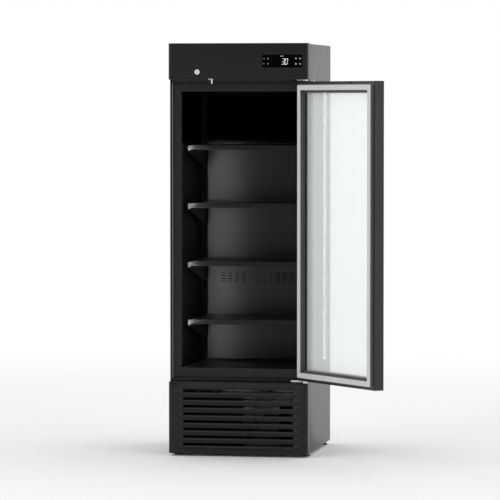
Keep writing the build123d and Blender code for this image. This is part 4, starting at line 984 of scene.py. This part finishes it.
cameraData = bpy.data.cameras.new("camera")
cameraData.lens = studio["lens"]
cameraData.sensor_width = 36.0
cameraData.clip_end = 200.0
camera = bpy.data.objects.new("camera", cameraData)
camera.location = studio["camera"]
camera.rotation_euler = (math.radians(studio["tilt"]), 0.0, math.radians(studio["yaw"]))
bpy.context.scene.collection.objects.link(camera)
bpy.context.scene.camera = camera


def softLamp(name, place, aim, size, watts):
    data = bpy.data.lights.new(name, "AREA")
    data.shape = "RECTANGLE"
    data.size, data.size_y = size
    data.energy = watts
    lamp = bpy.data.objects.new(name, data)
    lamp.location = place
    offset = np.array(aim, float) - np.array(place, float)
    flat = math.hypot(offset[0], offset[1])
    lamp.rotation_euler = (math.atan2(flat, -offset[2]), 0.0, math.atan2(offset[1], offset[0]) - math.pi / 2)
    bpy.context.scene.collection.objects.link(lamp)
    lamp.visible_camera = False


lamps = {"key": {"place": (-3.2, -4.2, 4.2), "aim": (0, 0, 0.9), "size": (2.6, 2.6), "watts": 55},
         "top": {"place": (0.4, 0.6, 4.6), "aim": (0.2, 0, 0), "size": (3.0, 3.0), "watts": 30},
         "fill": {"place": (4.6, -3.6, 2.4), "aim": (0.3, 0, 1.0), "size": (2.2, 3.0), "watts": 30}}
for name, settings in lamps.items():
    softLamp(name, **settings)

world = bpy.data.worlds.new("studio")
bpy.context.scene.world = world
sky = Shader(world, "ShaderNodeOutputWorld")
path = sky.node("ShaderNodeLightPath")
direction = sky.read(sky.node("ShaderNodeTexCoord"), "Generated")
ahead = sky.read(sky.node("ShaderNodeSeparateXYZ", {}, {"Vector": direction}), "Y")
roomShade = sky.remap(ahead, *studio["behindSpan"], studio["behindCamera"], 1.0)
cameraRay = sky.read(path, "Is Camera Ray")
glossRay = sky.read(path, "Is Glossy Ray")
throughRay = sky.read(path, "Is Transmission Ray")
fill = sky.remap(ahead, *studio["fillSpan"], studio["frontFill"], studio["backFill"])
otherRay = (1 - glossRay) * (1 - cameraRay) * (1 - throughRay)
level = cameraRay + throughRay + glossRay * roomShade + otherRay * fill
sky.finish(sky.node("ShaderNodeBackground", {}, {"Color": (1.0, 1.0, 1.0, 1.0), "Strength": level}))

floorSize = {"half": 60.0, "height": -0.0004, "fadeStart": -0.5, "fadeEnd": 7.0, "rows": 60}
grid = np.linspace(-1, 1, floorSize["rows"])
fx, fy = np.meshgrid(grid * floorSize["half"], grid * floorSize["half"], indexing="ij")
floorPoints = np.stack([fx, fy, np.full_like(fx, floorSize["height"])], -1).reshape(-1, 3)
floorMesh = bpy.data.meshes.new("floor")
floorMesh.from_pydata(floorPoints.tolist(), [], gridFaces(floorSize["rows"], floorSize["rows"]).tolist())
floorMesh.update()
floor = bpy.data.objects.new("floor", floorMesh)
bpy.context.scene.collection.objects.link(floor)
ground = newShader("pale floor")
spot = ground.place()
axes = ground.node("ShaderNodeSeparateXYZ", {}, {"Vector": spot})
far = ground.remap(ground.read(axes, "Y"), floorSize["fadeStart"], floorSize["fadeEnd"], 0.0, 1.0)
matte = ground.node("ShaderNodeBsdfDiffuse", {}, {"Color": (*studio["floorTone"], 1.0)})
clear = ground.node("ShaderNodeBsdfTransparent")
floorMesh.materials.append(ground.finish(ground.mixShaders(far, matte, clear)))

scene = bpy.context.scene
scene.view_settings.view_transform = "Standard"
print("studio made")
